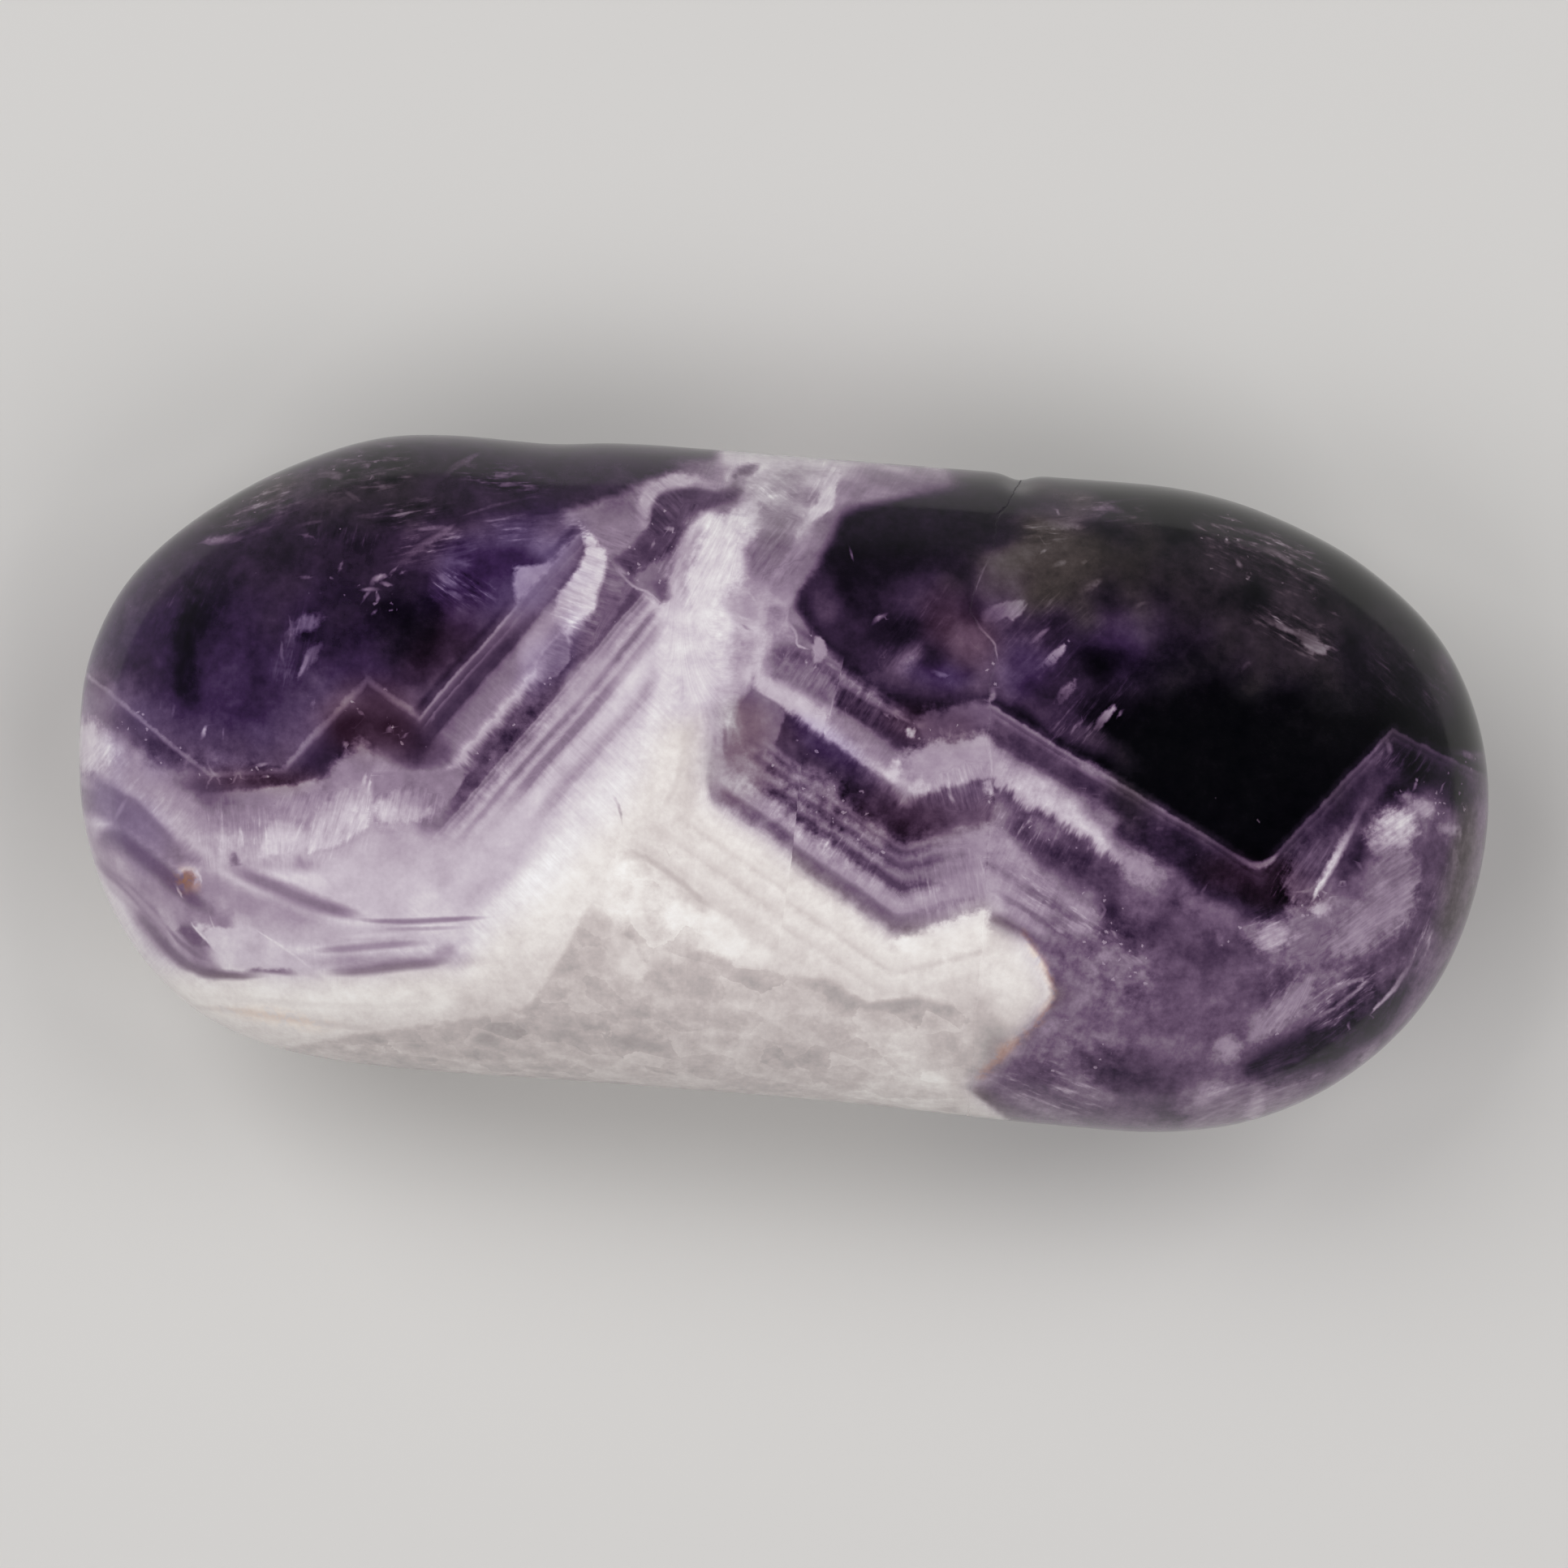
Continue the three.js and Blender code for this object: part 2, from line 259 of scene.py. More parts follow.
paint_patches(milk, [
    # in the left crystal
    (-41.6, 6.4, 4.0, 1.9, 68, 0.24, 0.9),
    (-42.0, 3.8, 1.8, 1.0, -35, 0.33, 0.8),
    (-39.4, 9.0, 3.0, 1.6, 55, 0.21, 0.7),
    (-37.2, 4.6, 5.4, 0.9, 88, 0.06, 0.85),
    (-35.6, 8.8, 3.4, 1.0, 84, 0.10, 0.6),
    (-34.4, 3.4, 4.4, 1.0, 84, 0.21, 0.8),
    (-32.6, 5.0, 3.4, 0.7, 88, 0.14, 0.6),
    (-31.0, 4.6, 3.6, 1.0, 86, 0.23, 0.7),
    (-30.2, 1.8, 1.6, 1.1, 50, 0.30, 0.7),
    (-34.5, 0.0, 3.6, 1.2, -4, 0.35, 0.9),
    (-38.8, 1.8, 2.2, 0.8, -38, 0.24, 0.7),
    (-30.0, 8.6, 3.0, 2.0, 10, 0.19, 0.5),
    (-24.8, 6.4, 4.6, 3.4, 0, 0.08, 0.9),
    (-19.6, 8.6, 3.4, 1.3, 56, 0.27, 0.9),
    (-22.0, 12.9, 3.0, 1.3, 10, 0.33, 0.9),
    (-22.6, 5.4, 2.4, 1.6, 50, 0.09, 0.8),
    (-30.5, 11.6, 5.0, 1.8, 8, 0.13, 0.6),
    (-33.6, 14.6, 4.6, 1.5, 30, 0.27, 0.8),
    (-28.4, 17.2, 3.6, 1.2, 16, 0.23, 0.8),
    (-22.0, 17.8, 4.0, 1.4, 0, 0.14, 0.8),
    (-36.6, 12.4, 2.4, 1.0, 40, 0.20, 0.7),
    (-22.4, 13.4, 2.4, 1.0, 5, 0.26, 0.6),
    (-21.0, 10.9, 1.8, 1.1, -28, 0.34, 0.8),
    (-18.9, 11.6, 2.0, 1.4, 35, 0.19, 0.7),
    (-17.6, 14.1, 3.4, 1.0, 3, 0.33, 0.85),
    (-15.6, 13.9, 1.5, 0.9, 40, 0.44, 0.8),
    (-18.0, 16.9, 2.6, 0.8, 0, 0.17, 0.8),
    (-12.2, 17.2, 1.8, 0.5, 32, 0.24, 0.7),
    (-26.6, 2.2, 1.0, 1.0, 0, 0.12, 0.8),
    (-27.6, 2.6, 1.6, 2.0, 60, 0.15, 0.7),
    # between the left crystal and the middle one
    (-5.8, 18.5, 1.9, 1.0, 0, 0.50, 0.95),
    (-4.6, 18.9, 1.0, 0.4, 78, 0.74, 0.9),
    (-3.6, 19.0, 0.6, 0.4, 10, 0.36, 0.9),
    (-5.4, 13.6, 2.9, 1.7, 78, 0.88, 0.9),
    (-4.6, 15.4, 2.4, 1.0, 15, 0.80, 0.9),
    (-3.6, 11.0, 1.6, 1.0, -50, 0.66, 0.8),
    (-2.0, 18.2, 2.2, 1.4, 20, 0.70, 0.9),
    (-2.0, 13.8, 1.5, 0.9, 65, 0.44, 0.95),
    (-1.2, 15.6, 1.3, 0.6, 20, 0.52, 0.85),
    (-1.3, 12.0, 1.3, 0.7, -45, 0.52, 0.8),
    (-2.4, 11.5, 1.4, 0.7, -40, 0.56, 0.95),
    (0.2, 13.8, 2.6, 0.9, 66, 0.50, 0.95),
    (1.4, 15.8, 1.8, 0.8, 74, 0.46, 0.95),
    (-0.6, 17.6, 1.4, 0.9, 60, 0.56, 0.8),
    # the grey-lavender band along the back edge is painted reflection: the sheen of light on the steep rim
    (3.4, 17.9, 2.6, 1.0, 30, 0.44, 1.0),
    (5.2, 18.9, 4.0, 1.2, 6, 0.46, 1.0),
    (-1.6, 9.4, 0.8, 1.4, 0, 0.55, 0.8),
    (-1.1, 10.5, 1.1, 0.9, 0, 0.54, 0.95),
    (-2.3, 8.2, 0.7, 1.7, 0, 0.66, 0.9),
    (-2.4, 12.4, 1.3, 2.0, 0, 0.60, 0.85),
    (-0.8, 9.8, 0.8, 1.0, 0, 0.44, 0.9),
    (-3.3, 5.4, 1.1, 0.9, 0, 0.70, 0.8),
    (1.5, 5.8, 1.4, 1.0, -30, 0.56, 0.8),
    (-4.6, 16.8, 1.7, 0.8, 20, 0.48, 0.85),
    (0.4, 17.4, 1.3, 0.8, 0, 0.48, 0.9),
    (1.6, 11.0, 1.3, 2.9, 24, 0.32, 0.8),
    (-1.0, 7.6, 1.2, 1.2, 0, 0.52, 0.8),
    (-3.0, 7.4, 0.8, 2.2, 0, 0.64, 0.9),
    (-4.3, 3.4, 0.8, 3.0, 8, 0.68, 0.85),
    (-5.9, 3.0, 0.9, 4.4, 4, 0.78, 0.7),
    # in the middle crystal
    (4.4, 14.0, 3.0, 2.0, 30, 0.08, 0.8),
    (5.2, 7.6, 3.6, 1.2, -32, 0.23, 0.8),
    (10.6, 7.4, 2.6, 2.4, 0, 0.24, 0.8),
    (12.0, 13.0, 1.2, 3.0, 0, 0.24, 0.7),
    (7.2, 12.1, 1.9, 1.1, 20, 0.21, 0.8),
    (9.6, 10.6, 2.2, 1.6, -50, 0.22, 0.8),
    (10.8, 9.2, 1.5, 1.2, -50, 0.32, 0.8),
    (8.0, 6.9, 3.4, 1.1, -4, 0.25, 0.9),
    (7.1, 7.8, 1.6, 0.7, 52, 0.32, 0.8),
    (11.9, 7.6, 0.8, 1.6, 0, 0.38, 0.8),
    (3.6, 9.3, 1.9, 1.2, -35, 0.16, 0.8),
    (11.6, 6.7, 1.0, 0.8, 0, 0.36, 0.8),
    (11.2, 18.9, 1.5, 0.8, -10, 0.13, 0.8),
    (5.4, 16.6, 3.4, 0.8, 24, 0.12, 0.7),
    # in the right crystal
    (27.6, 10.6, 9.0, 3.0, -4, 0.17, 0.95),
    (20.0, 7.4, 4.0, 2.0, 20, 0.15, 0.8),
    (16.6, 5.0, 4.0, 1.0, -27, 0.27, 0.9),
    (13.0, 7.6, 0.9, 1.8, 0, 0.38, 0.9),
    (15.6, 15.6, 3.2, 3.4, 0, 0.28, 0.95),
    (19.4, 15.0, 3.2, 3.2, 0, 0.19, 0.8),
    (17.4, 17.8, 4.0, 1.3, 0, 0.27, 0.9),
    (17.2, 12.2, 3.0, 1.6, 0, 0.21, 0.8),
    (12.8, 12.6, 1.5, 3.2, 0, 0.31, 0.9),
    (14.6, 9.0, 2.2, 2.4, 30, 0.26, 0.9),
    (17.6, 7.0, 2.4, 1.8, 40, 0.17, 0.8),
    (20.6, 11.0, 2.8, 2.0, 30, 0.25, 0.9),
    (24.6, 9.0, 2.0, 2.6, 20, 0.10, 0.7),
    (24.0, 14.6, 3.6, 3.0, 0, 0.16, 0.8),
    (29.0, 15.6, 4.0, 2.0, -18, 0.24, 0.85),
    (31.6, 12.0, 3.0, 1.6, -25, 0.23, 0.8),
    (36.0, 11.0, 3.0, 2.4, -40, 0.15, 0.8),
    (30.8, 8.7, 1.7, 0.8, 0, 0.12, 0.7),
    (39.8, 8.4, 1.6, 2.6, 20, 0.15, 0.8),
    (40.2, 10.2, 1.0, 0.6, -60, 0.24, 0.7),
    # in the mantle around the right crystal
    (36.6, 3.4, 2.4, 1.0, 52, 0.14, 0.9),
    (37.2, 2.0, 1.8, 1.2, 40, 0.16, 0.9),
    (35.9, -1.4, 2.8, 0.8, 64, 0.17, 0.95),
    (40.0, 3.4, 2.2, 1.1, 0, 0.16, 0.9),
    (38.4, 3.6, 1.4, 1.0, 0, 0.14, 0.9),
    (36.4, 1.0, 1.7, 0.8, 48, 0.13, 0.95),
    (37.6, 2.2, 1.8, 1.3, 50, 0.10, 0.95),
    (17.0, 4.8, 1.0, 0.8, 0, 0.20, 0.9),
    (19.6, -12.2, 2.2, 1.3, 40, 0.50, 0.8),
    (28.0, -15.6, 1.6, 0.8, 30, 0.46, 0.8),
    (25.6, -17.2, 1.4, 0.7, 20, 0.46, 0.8),
    (34.8, -10.6, 1.6, 0.7, 50, 0.42, 0.8),
    (29.6, -7.6, 1.4, 1.6, 0, 0.26, 0.8),
    (34.0, -1.2, 3.2, 1.4, 54, 0.15, 0.9),
    (31.4, -4.0, 1.4, 0.9, 30, 0.12, 0.9),
    (28.6, -4.4, 3.4, 1.1, -26, 0.11, 0.95),
    (26.0, -3.2, 2.4, 1.0, -27, 0.17, 0.8),
    (24.8, -5.8, 1.5, 0.7, -27, 0.27, 0.8),
    (29.3, -6.1, 2.0, 0.6, -25, 0.22, 0.7),
    (38.0, -0.2, 1.3, 1.1, 35, 0.74, 0.95),
    (37.0, -1.0, 0.9, 0.7, 50, 0.60, 0.8),
    (39.4, 1.2, 1.1, 0.6, -20, 0.56, 0.9),
    (41.1, 0.6, 0.6, 0.9, 20, 0.46, 0.8),
    (40.8, -2.4, 1.0, 2.0, 10, 0.26, 0.8),
    (37.4, -3.4, 2.6, 1.3, 62, 0.47, 0.95),
    (36.9, -6.2, 2.4, 0.9, 52, 0.50, 0.9),
    (39.6, -6.0, 2.6, 0.8, 62, 0.31, 0.9),
    (34.3, -5.2, 0.9, 0.8, 0, 0.55, 0.9),
    (33.0, -4.4, 1.2, 0.6, 20, 0.46, 0.8),
    (31.0, -7.2, 1.5, 0.7, 8, 0.60, 0.95),
    (29.4, -7.1, 0.8, 0.5, 0, 0.44, 0.8),
    (27.4, -6.6, 1.2, 0.6, -30, 0.42, 0.85),
    (34.6, -7.6, 1.8, 1.0, 45, 0.42, 0.9),
    (33.0, -9.0, 1.4, 1.0, 40, 0.36, 0.8),
    (26.4, -9.0, 3.4, 1.8, 0, 0.27, 0.9),
    (22.6, -7.2, 1.6, 1.4, 0, 0.24, 0.8),
    (20.6, -10.8, 3.4, 1.8, -35, 0.48, 0.9),
    (18.6, -14.6, 3.2, 2.2, 0, 0.44, 0.9),
    (25.4, -12.0, 3.6, 2.2, 0, 0.34, 0.9),
    (22.4, -11.6, 1.6, 1.2, 0, 0.44, 0.9),
    (26.4, -14.6, 2.2, 1.0, 0, 0.46, 0.9),
    (30.4, -10.0, 1.8, 1.4, 0, 0.33, 0.8),
    (31.0, -12.4, 1.6, 1.0, 45, 0.42, 0.8),
    (32.7, -11.4, 1.4, 0.5, 62, 0.52, 0.9),
    (31.6, -13.0, 0.7, 0.4, 20, 0.55, 0.8),
    (28.3, -14.3, 0.8, 0.6, 20, 0.64, 0.9),
    (29.9, -13.7, 0.8, 0.4, 60, 0.46, 0.8),
    (29.4, -15.8, 2.6, 0.8, 18, 0.34, 0.8),
    (36.6, -10.4, 3.0, 1.0, 48, 0.27, 0.85),
    (34.4, -10.2, 2.6, 0.9, 52, 0.46, 0.9),
    (33.6, -13.8, 3.6, 1.0, 18, 0.14, 0.95),
    (36.6, -12.6, 1.8, 0.9, 40, 0.14, 0.9),
    (38.6, -9.8, 2.6, 0.7, 60, 0.17, 0.85),
    (33.4, -16.0, 3.4, 0.8, 20, 0.33, 0.85),
    (23.0, -16.6, 3.6, 1.2, -6, 0.22, 0.9),
    (25.4, -18.6, 2.4, 0.8, 0, 0.22, 0.9),
    (28.6, -17.6, 2.8, 1.2, 12, 0.60, 0.95),
    (18.8, -17.5, 2.6, 0.7, -12, 0.46, 0.9),
    (21.0, -18.1, 1.4, 0.5, -8, 0.48, 0.9),
    (17.4, -18.9, 2.2, 0.5, -18, 0.50, 0.9),
    (17.2, -17.0, 1.3, 0.9, 10, 0.32, 0.8),
    (16.9, -15.6, 1.2, 0.8, 40, 0.46, 0.9),
    # a thin grey band along the right end, where the rim is steep: painted reflection, a sheen of light on
    # the rim
    (41.9, -3.4, 0.7, 4.6, -8, 0.28, 0.8),
    (42.0, 2.4, 1.6, 1.6, 0, 0.14, 0.9),
    # in the pale middle
    (-10.6, -2.4, 3.0, 6.0, -14, 0.92, 0.8),
    (-14.8, -7.4, 2.6, 3.6, -35, 0.96, 0.9),
    (-7.4, -7.6, 2.6, 1.9, -30, 0.83, 0.9),
    (-7.4, -10.4, 1.8, 1.5, -70, 0.81, 0.8),
    (-8.2, -12.0, 1.0, 0.7, -40, 0.82, 0.8),
    (-3.0, -9.6, 3.2, 1.1, -20, 0.97, 0.9),
    (7.6, -10.4, 3.2, 1.1, 0, 1.0, 0.9),
    (10.6, -8.8, 2.4, 1.2, 15, 0.98, 0.8),
    (14.4, -10.6, 2.4, 2.4, 0, 0.93, 0.8),
    (13.2, -13.4, 2.2, 1.6, -40, 0.76, 0.9),
    (14.0, -14.6, 1.8, 1.2, -40, 0.72, 0.9),
    (14.4, -15.6, 3.0, 1.2, 50, 0.62, 0.95),
    (7.6, -16.8, 3.8, 1.9, 15, 0.84, 0.95),
    (9.4, -18.4, 3.4, 1.1, 0, 0.86, 0.9),
    (-17.0, -11.6, 3.4, 1.6, 40, 0.92, 0.8),
    (-24.0, -15.8, 6.0, 0.9, 4, 0.88, 0.8),
    (-32.0, -16.6, 5.0, 1.0, -10, 0.90, 0.9),
    (-18.6, -17.7, 3.2, 0.7, 4, 0.68, 0.8),
    (-25.0, -18.3, 2.8, 0.9, 4, 0.86, 0.9),
    (-9.4, -8.0, 1.6, 1.8, 20, 0.93, 0.9),
    (-5.4, -9.6, 1.0, 1.4, 0, 0.90, 0.8),
])
paint_streaks(milk, [
    ([(-9.7, 15.2), (-9.8, 16.6), (-9.2, 17.5), (-8.1, 18.0), (-7.1, 17.9)], 0.35, 0.35, 0.74, 0.95),
    ([(1.8, 19.5), (1.3, 18.5), (1.6, 17.4), (0.5, 16.2)], 0.4, 0.3, 0.74, 0.9),
    ([(-9.3, -5.2), (-8.0, -5.6), (-5.8, -7.0), (-4.4, -8.2)], 0.35, 0.3, 0.78, 0.6),
    ([(3.4, -12.4), (6.0, -14.0), (9.2, -13.0), (12.0, -13.4)], 0.5, 0.3, 0.70, 0.7),
])
# The old rind stands out darkest along its left edge.
EDGE_TONE = 0.71
EDGE_COVER = 0.8
EDGE_FADE = (0.8, 3.4)
RIND_EDGE = [(-12.2, -11.0), (-13.2, -12.8), (-14.6, -15.2), (-20.0, -16.6), (-32.0, -19.4), (-110.0, -45.0)]
edge_gap = np.abs(line_gap(RIND_EDGE, section)[0])
lay(milk, EDGE_TONE, EDGE_COVER * shown(MATRIX, 0.2) * (1.0 - smooth_step(*EDGE_FADE, edge_gap)))

# What lies over the bands: veils, stains and later growth that hide them, with a tone and a cover.
VEIL_MILK = 0.7
veil = np.full(len(places), VEIL_MILK)
veil_cover = np.zeros(len(places))
paint_patches(veil, [
    (-42.4, 1.8, 1.6, 1.4, -40, 0.50, 0.8),
    (-23.6, -6.0, 3.4, 1.6, 10, 0.66, 0.9),
    (-17.4, -5.2, 4.4, 2.0, 52, 0.74, 0.8),
    (-25.0, -8.8, 4.6, 1.4, 0, 0.78, 0.95),
    (-20.4, -8.8, 3.0, 1.6, 30, 0.76, 0.9),
    (-9.5, 5.8, 3.8, 1.1, 60, 0.84, 0.95),
    (-15.2, 11.4, 3.6, 0.9, 52, 0.47, 0.8),
    (-12.7, 5.2, 2.8, 0.8, 56, 0.66, 0.85),
    (-18.0, 7.6, 2.6, 0.3, 53, 0.38, 0.6),
    (-15.6, 7.8, 2.0, 0.6, 56, 0.66, 0.8),
    (-39.8, -2.6, 3.0, 1.1, -36, 0.64, 0.9),
    (-36.9, -2.4, 1.4, 0.8, 0, 0.50, 0.7),
    # the smooth lavender that the left crystal's bands fade into
    (-22.9, -2.8, 2.4, 1.4, 10, 0.60, 0.75),
    (-24.6, -7.6, 4.4, 2.5, -6, 0.75, 0.95),
    (-20.6, -7.0, 2.6, 1.8, 50, 0.71, 0.75),
    (-30.0, -11.0, 4.0, 0.9, -12, 0.64, 0.9),
    (-34.4, -9.0, 1.9, 0.9, -30, 0.57, 0.95),
    (-31.4, -9.9, 3.4, 0.9, -14, 0.58, 0.95),
    (-21.4, -3.4, 1.6, 0.8, 0, 0.50, 0.8),
    (-15.4, -2.8, 3.0, 0.5, 55, 0.82, 0.8),
    (-28.0, -9.6, 3.0, 0.4, -14, 0.78, 0.7),
    (-35.6, -12.0, 2.4, 0.9, -58, 0.47, 0.95),
    (-39.6, -5.2, 2.6, 0.9, -36, 0.50, 0.9),
    (-38.6, -8.8, 3.4, 0.9, -42, 0.57, 0.9),
    (-41.2, -8.0, 2.6, 0.7, -58, 0.60, 0.9),
    (-25.0, -11.4, 5.0, 0.7, 2, 0.73, 0.95),
    (-24.0, -13.0, 5.2, 0.6, 5, 0.62, 0.95),
    (-31.0, -13.4, 2.4, 0.5, -8, 0.72, 0.9),
    (-24.0, -15.4, 12.0, 0.8, 2, 0.80, 1.0),
    (-17.4, -6.0, 5.6, 1.5, 53, 0.78, 0.9),
    (-38.2, -11.6, 2.0, 1.0, -50, 0.52, 0.8),
    # bright spots in the left crystal's fringe
    (-42.4, -0.9, 1.1, 0.9, -50, 0.76, 0.8),
    (-33.3, -1.75, 2.6, 0.45, 2, 0.33, 0.75),
    (-30.0, -6.0, 1.6, 0.9, 10, 0.79, 0.8),
    (-26.3, -4.2, 1.2, 0.8, 35, 0.86, 0.9),
    (-23.6, -3.8, 0.9, 0.5, 20, 0.74, 0.8),
    (-33.6, -6.2, 1.4, 0.7, 0, 0.72, 0.7),
    # the stain between the two parts of the middle crystal's bands
    (-1.6, 3.5, 1.6, 1.0, -30, 0.37, 0.95),
    (-2.8, 2.0, 1.3, 0.8, -10, 0.47, 0.95),
    (-2.6, 0.5, 1.7, 0.8, -20, 0.57, 0.8),
    (-4.2, 0.4, 0.6, 1.8, 0, 0.64, 0.8),
    (-0.6, 8.6, 1.0, 1.2, -30, 0.56, 0.8),
    (0.6, 6.4, 1.6, 0.9, -30, 0.60, 0.6),
    # the end of the right crystal's white band, and the bands beyond it, which blur into the haze
    (15.2, 1.2, 1.6, 0.7, -40, 0.80, 0.6),
    (18.2, -0.9, 1.6, 0.6, -35, 0.80, 0.6),
    (15.4, -2.2, 2.6, 0.8, -28, 0.28, 0.8),
    (18.9, -4.5, 3.0, 1.4, -28, 0.24, 0.95),
    (21.6, -6.6, 2.6, 1.4, -28, 0.26, 0.9),
    (13.4, -1.3, 1.1, 1.0, 0, 0.56, 0.85),
    (19.0, -5.8, 1.6, 0.7, -28, 0.32, 0.9),
    (20.6, -1.7, 1.6, 0.7, -30, 0.52, 0.85),
    (22.4, -2.8, 2.6, 0.9, -30, 0.40, 0.95),
    (24.8, -4.8, 1.8, 0.8, -30, 0.32, 0.9),
    (12.8, -5.4, 3.0, 1.0, 2, 0.68, 0.9),
    (13.6, -6.7, 1.2, 0.9, 0, 0.74, 0.9),
    (16.4, -2.0, 1.4, 0.6, -30, 0.54, 0.85),
    (19.4, -0.7, 1.1, 0.5, -30, 0.36, 0.8),
    (22.4, -5.5, 1.5, 1.0, -30, 0.42, 0.85),
    (17.4, -7.6, 1.2, 0.9, 0, 0.34, 0.8),
    (16.4, -3.4, 2.2, 0.6, -28, 0.30, 0.7),
    # crumbled bands in the middle crystal
    (2.6, 0.1, 1.9, 0.7, -30, 0.40, 0.85),
    (-4.5, 1.2, 0.6, 1.9, 4, 0.62, 0.95),
    (-2.7, 6.2, 0.5, 1.2, 6, 0.72, 0.95),
    (11.0, -2.9, 1.8, 0.8, 20, 0.52, 0.8),
    (10.4, 3.6, 2.4, 0.4, 12, 0.38, 0.8),
], veil_cover)
paint_streaks(veil, [
    # the streaks under the left crystal's fringe
    ([(-43.6, -4.0), (-41.0, -5.0), (-38.6, -6.4), (-36.8, -7.6)], 1.0, 0.6, 0.47, 0.9),
    ([(-41.0, -6.6), (-39.2, -7.4), (-37.2, -8.8), (-35.2, -10.4), (-34.0, -11.2)], 0.7, 0.8, 0.44, 0.8),
    ([(-38.6, -11.4), (-37.2, -12.9), (-36.0, -13.8), (-34.2, -14.2)], 0.6, 0.5, 0.50, 0.7),
    ([(-44.0, -15.4), (-36.0, -15.8), (-28.0, -15.6), (-20.0, -15.0)], 1.0, 1.0, 0.92, 0.9),
    ([(21.2, -1.5), (22.8, -2.0), (25.0, -3.2), (27.4, -4.6)], 0.7, 1.1, 0.15, 0.9),
], veil_cover)

# The growth faces of the crystals. Each band lies a set depth outside them, where the crystal once ended:
# a place on the face, the way it faces in degrees, and how fast its bands follow one another.
FACES = {
    "left_low": [((-40.0, 1.05), -124.6, 1.0), ((-33.3, -1.95), -82.0, 0.75), ((-27.8, 2.05), -39.3, 0.66)],
    "left_high": [((-24.3, 3.2), -120.5, 0.66), ((-19.68, 6.05), -36.6, 1.0)],
    "middle": [((5.4, 5.48), -120.0, 1.0), ((10.69, 5.07), -70.0, 0.93), ((-1.2, 0.0), 180.0, 3.2)],
    "right": [((22.0, 0.6), -117.3, 1.0), ((33.6, 1.4), -38.7, 1.0), ((39.0, 5.1), -112.0, 1.0)],
}
RIND_DEPTH = 11.6  # past this depth the middle crystal's left face gives way to the slanting one
RIND_RATE = 0.12
LEFT_SHOWN = [
    (-90.0, 40.0), (-90.0, -3.2), (-43.0, -3.2), (-36.6, -8.0), (-28.0, -7.6), (-23.6, -5.4), (-21.0, -4.0),
    (-18.4, -0.6), (-20.6, 3.4), (-20.0, 5.6), (-26.0, 14.0),
]
DIAGONAL_SHOWN = [
    (-21.0, -0.2), (-22.4, -4.0), (-21.6, -6.2), (-20.4, -8.4), (-18.4, -9.6), (-15.0, -6.0), (-8.4, 2.0),
    (-8.2, 9.0), (-9.4, 11.0), (-10.8, 12.2), (-12.6, 14.2), (-15.0, 15.2), (-20.4, 9.0), (-23.0, 3.0),
]
MIDDLE_SHOWN = [
    (0.6, 10.4), (-0.7, 9.0), (-2.0, 6.8), (-2.6, 5.4), (-3.4, 3.0), (-5.0, 1.6), (-5.2, -2.4), (-9.4, -4.6),
    (-7.6, -5.4), (-4.0, -7.6), (-1.0, -10.2), (5.0, -12.0), (8.0, -12.6), (14.0, -11.0), (14.0, 7.0),
    (8.0, 6.0), (1.0, 9.8),
]
RIGHT_SHOWN = [
    (11.0, 7.4), (11.0, -7.6), (14.0, -8.2), (17.4, -8.6), (20.8, -7.6), (21.6, -5.6), (24.0, -5.0),
    (25.0, -3.4), (30.0, -5.2), (33.0, -2.6), (37.6, 4.6), (40.0, 3.8), (43.0, 3.6), (46.0, 6.0), (36.0, 8.0),
    (28.0, 0.4),
]


def face_depth(face):
    """How deep in a face's bands every spot lies: 0 on the face itself, and more outside it."""
    (x, y), facing, rate = face
    angle = math.radians(facing)
    return rate * ((section[:, 0] - x) * math.cos(angle) + (section[:, 1] - y) * math.sin(angle))


def along_face(face):
    """Places along a face, in millimetres."""
    angle = math.radians(face[1])
    return section[:, 1] * math.cos(angle) - section[:, 0] * math.sin(angle)


depths = {name: [face_depth(face) for face in faces] for name, faces in FACES.items()}
past_rind = depths["middle"][2] - RIND_DEPTH
depths["middle"][2] = RIND_DEPTH + np.where(past_rind > 0, past_rind * RIND_RATE, past_rind)
for name, columns in depths.items():
    keep_on_stone(name, *columns)


def along_nearest(name):
    """Places along whichever of a crystal's faces is the outermost at each spot."""
    tangents = np.stack([along_face(face) for face in FACES[name]])
    return tangents[np.stack(depths[name]).argmax(0), np.arange(len(places))]


low_depth = np.max(depths["left_low"], 0)
high_depth = np.max(depths["left_high"], 0)
left_along = np.where(low_depth < high_depth, along_nearest("left_low"), along_nearest("left_high"))
keep_on_stone("bands_shown", shown(LEFT_SHOWN, 0.5), shown(DIAGONAL_SHOWN, 0.5), shown(MIDDLE_SHOWN, 0.4))

# The crack that parts the middle crystal from the right one, from the back edge down to the cream, and
# two small faults along which the middle crystal's bands have slipped.
CRACK = [
    (13.1, 22.0), (13.2, 19.4), (12.6, 17.9), (12.0, 17.2), (11.9, 15.0), (11.1, 13.4), (10.7, 11.3),
    (11.4, 10.2), (12.4, 9.4), (12.6, 8.1), (12.2, 6.8), (12.5, 4.6), (12.2, 3.9), (12.6, 1.4),
    (13.1, -0.4), (12.9, -3.0), (13.0, -5.6), (12.9, -7.2), (12.9, -40.0),
]
HIGH_FAULT = [(3.4, 9.0), (2.9, 6.0), (2.3, 3.8), (2.2, -8.0)]
LOW_FAULT = [(1.3, 4.0), (1.1, 1.0), (1.0, -1.2), (0.9, -4.2), (0.6, -9.0)]
crack_gap = line_gap(CRACK, section)[0]
keep_on_stone("breaks", crack_gap, line_gap(HIGH_FAULT, section)[0], line_gap(LOW_FAULT, section)[0])
main_along = np.where(crack_gap > 0, along_nearest("right"), along_nearest("middle"))
keep_on_stone("along", left_along, main_along, shown(RIGHT_SHOWN, 0.9))
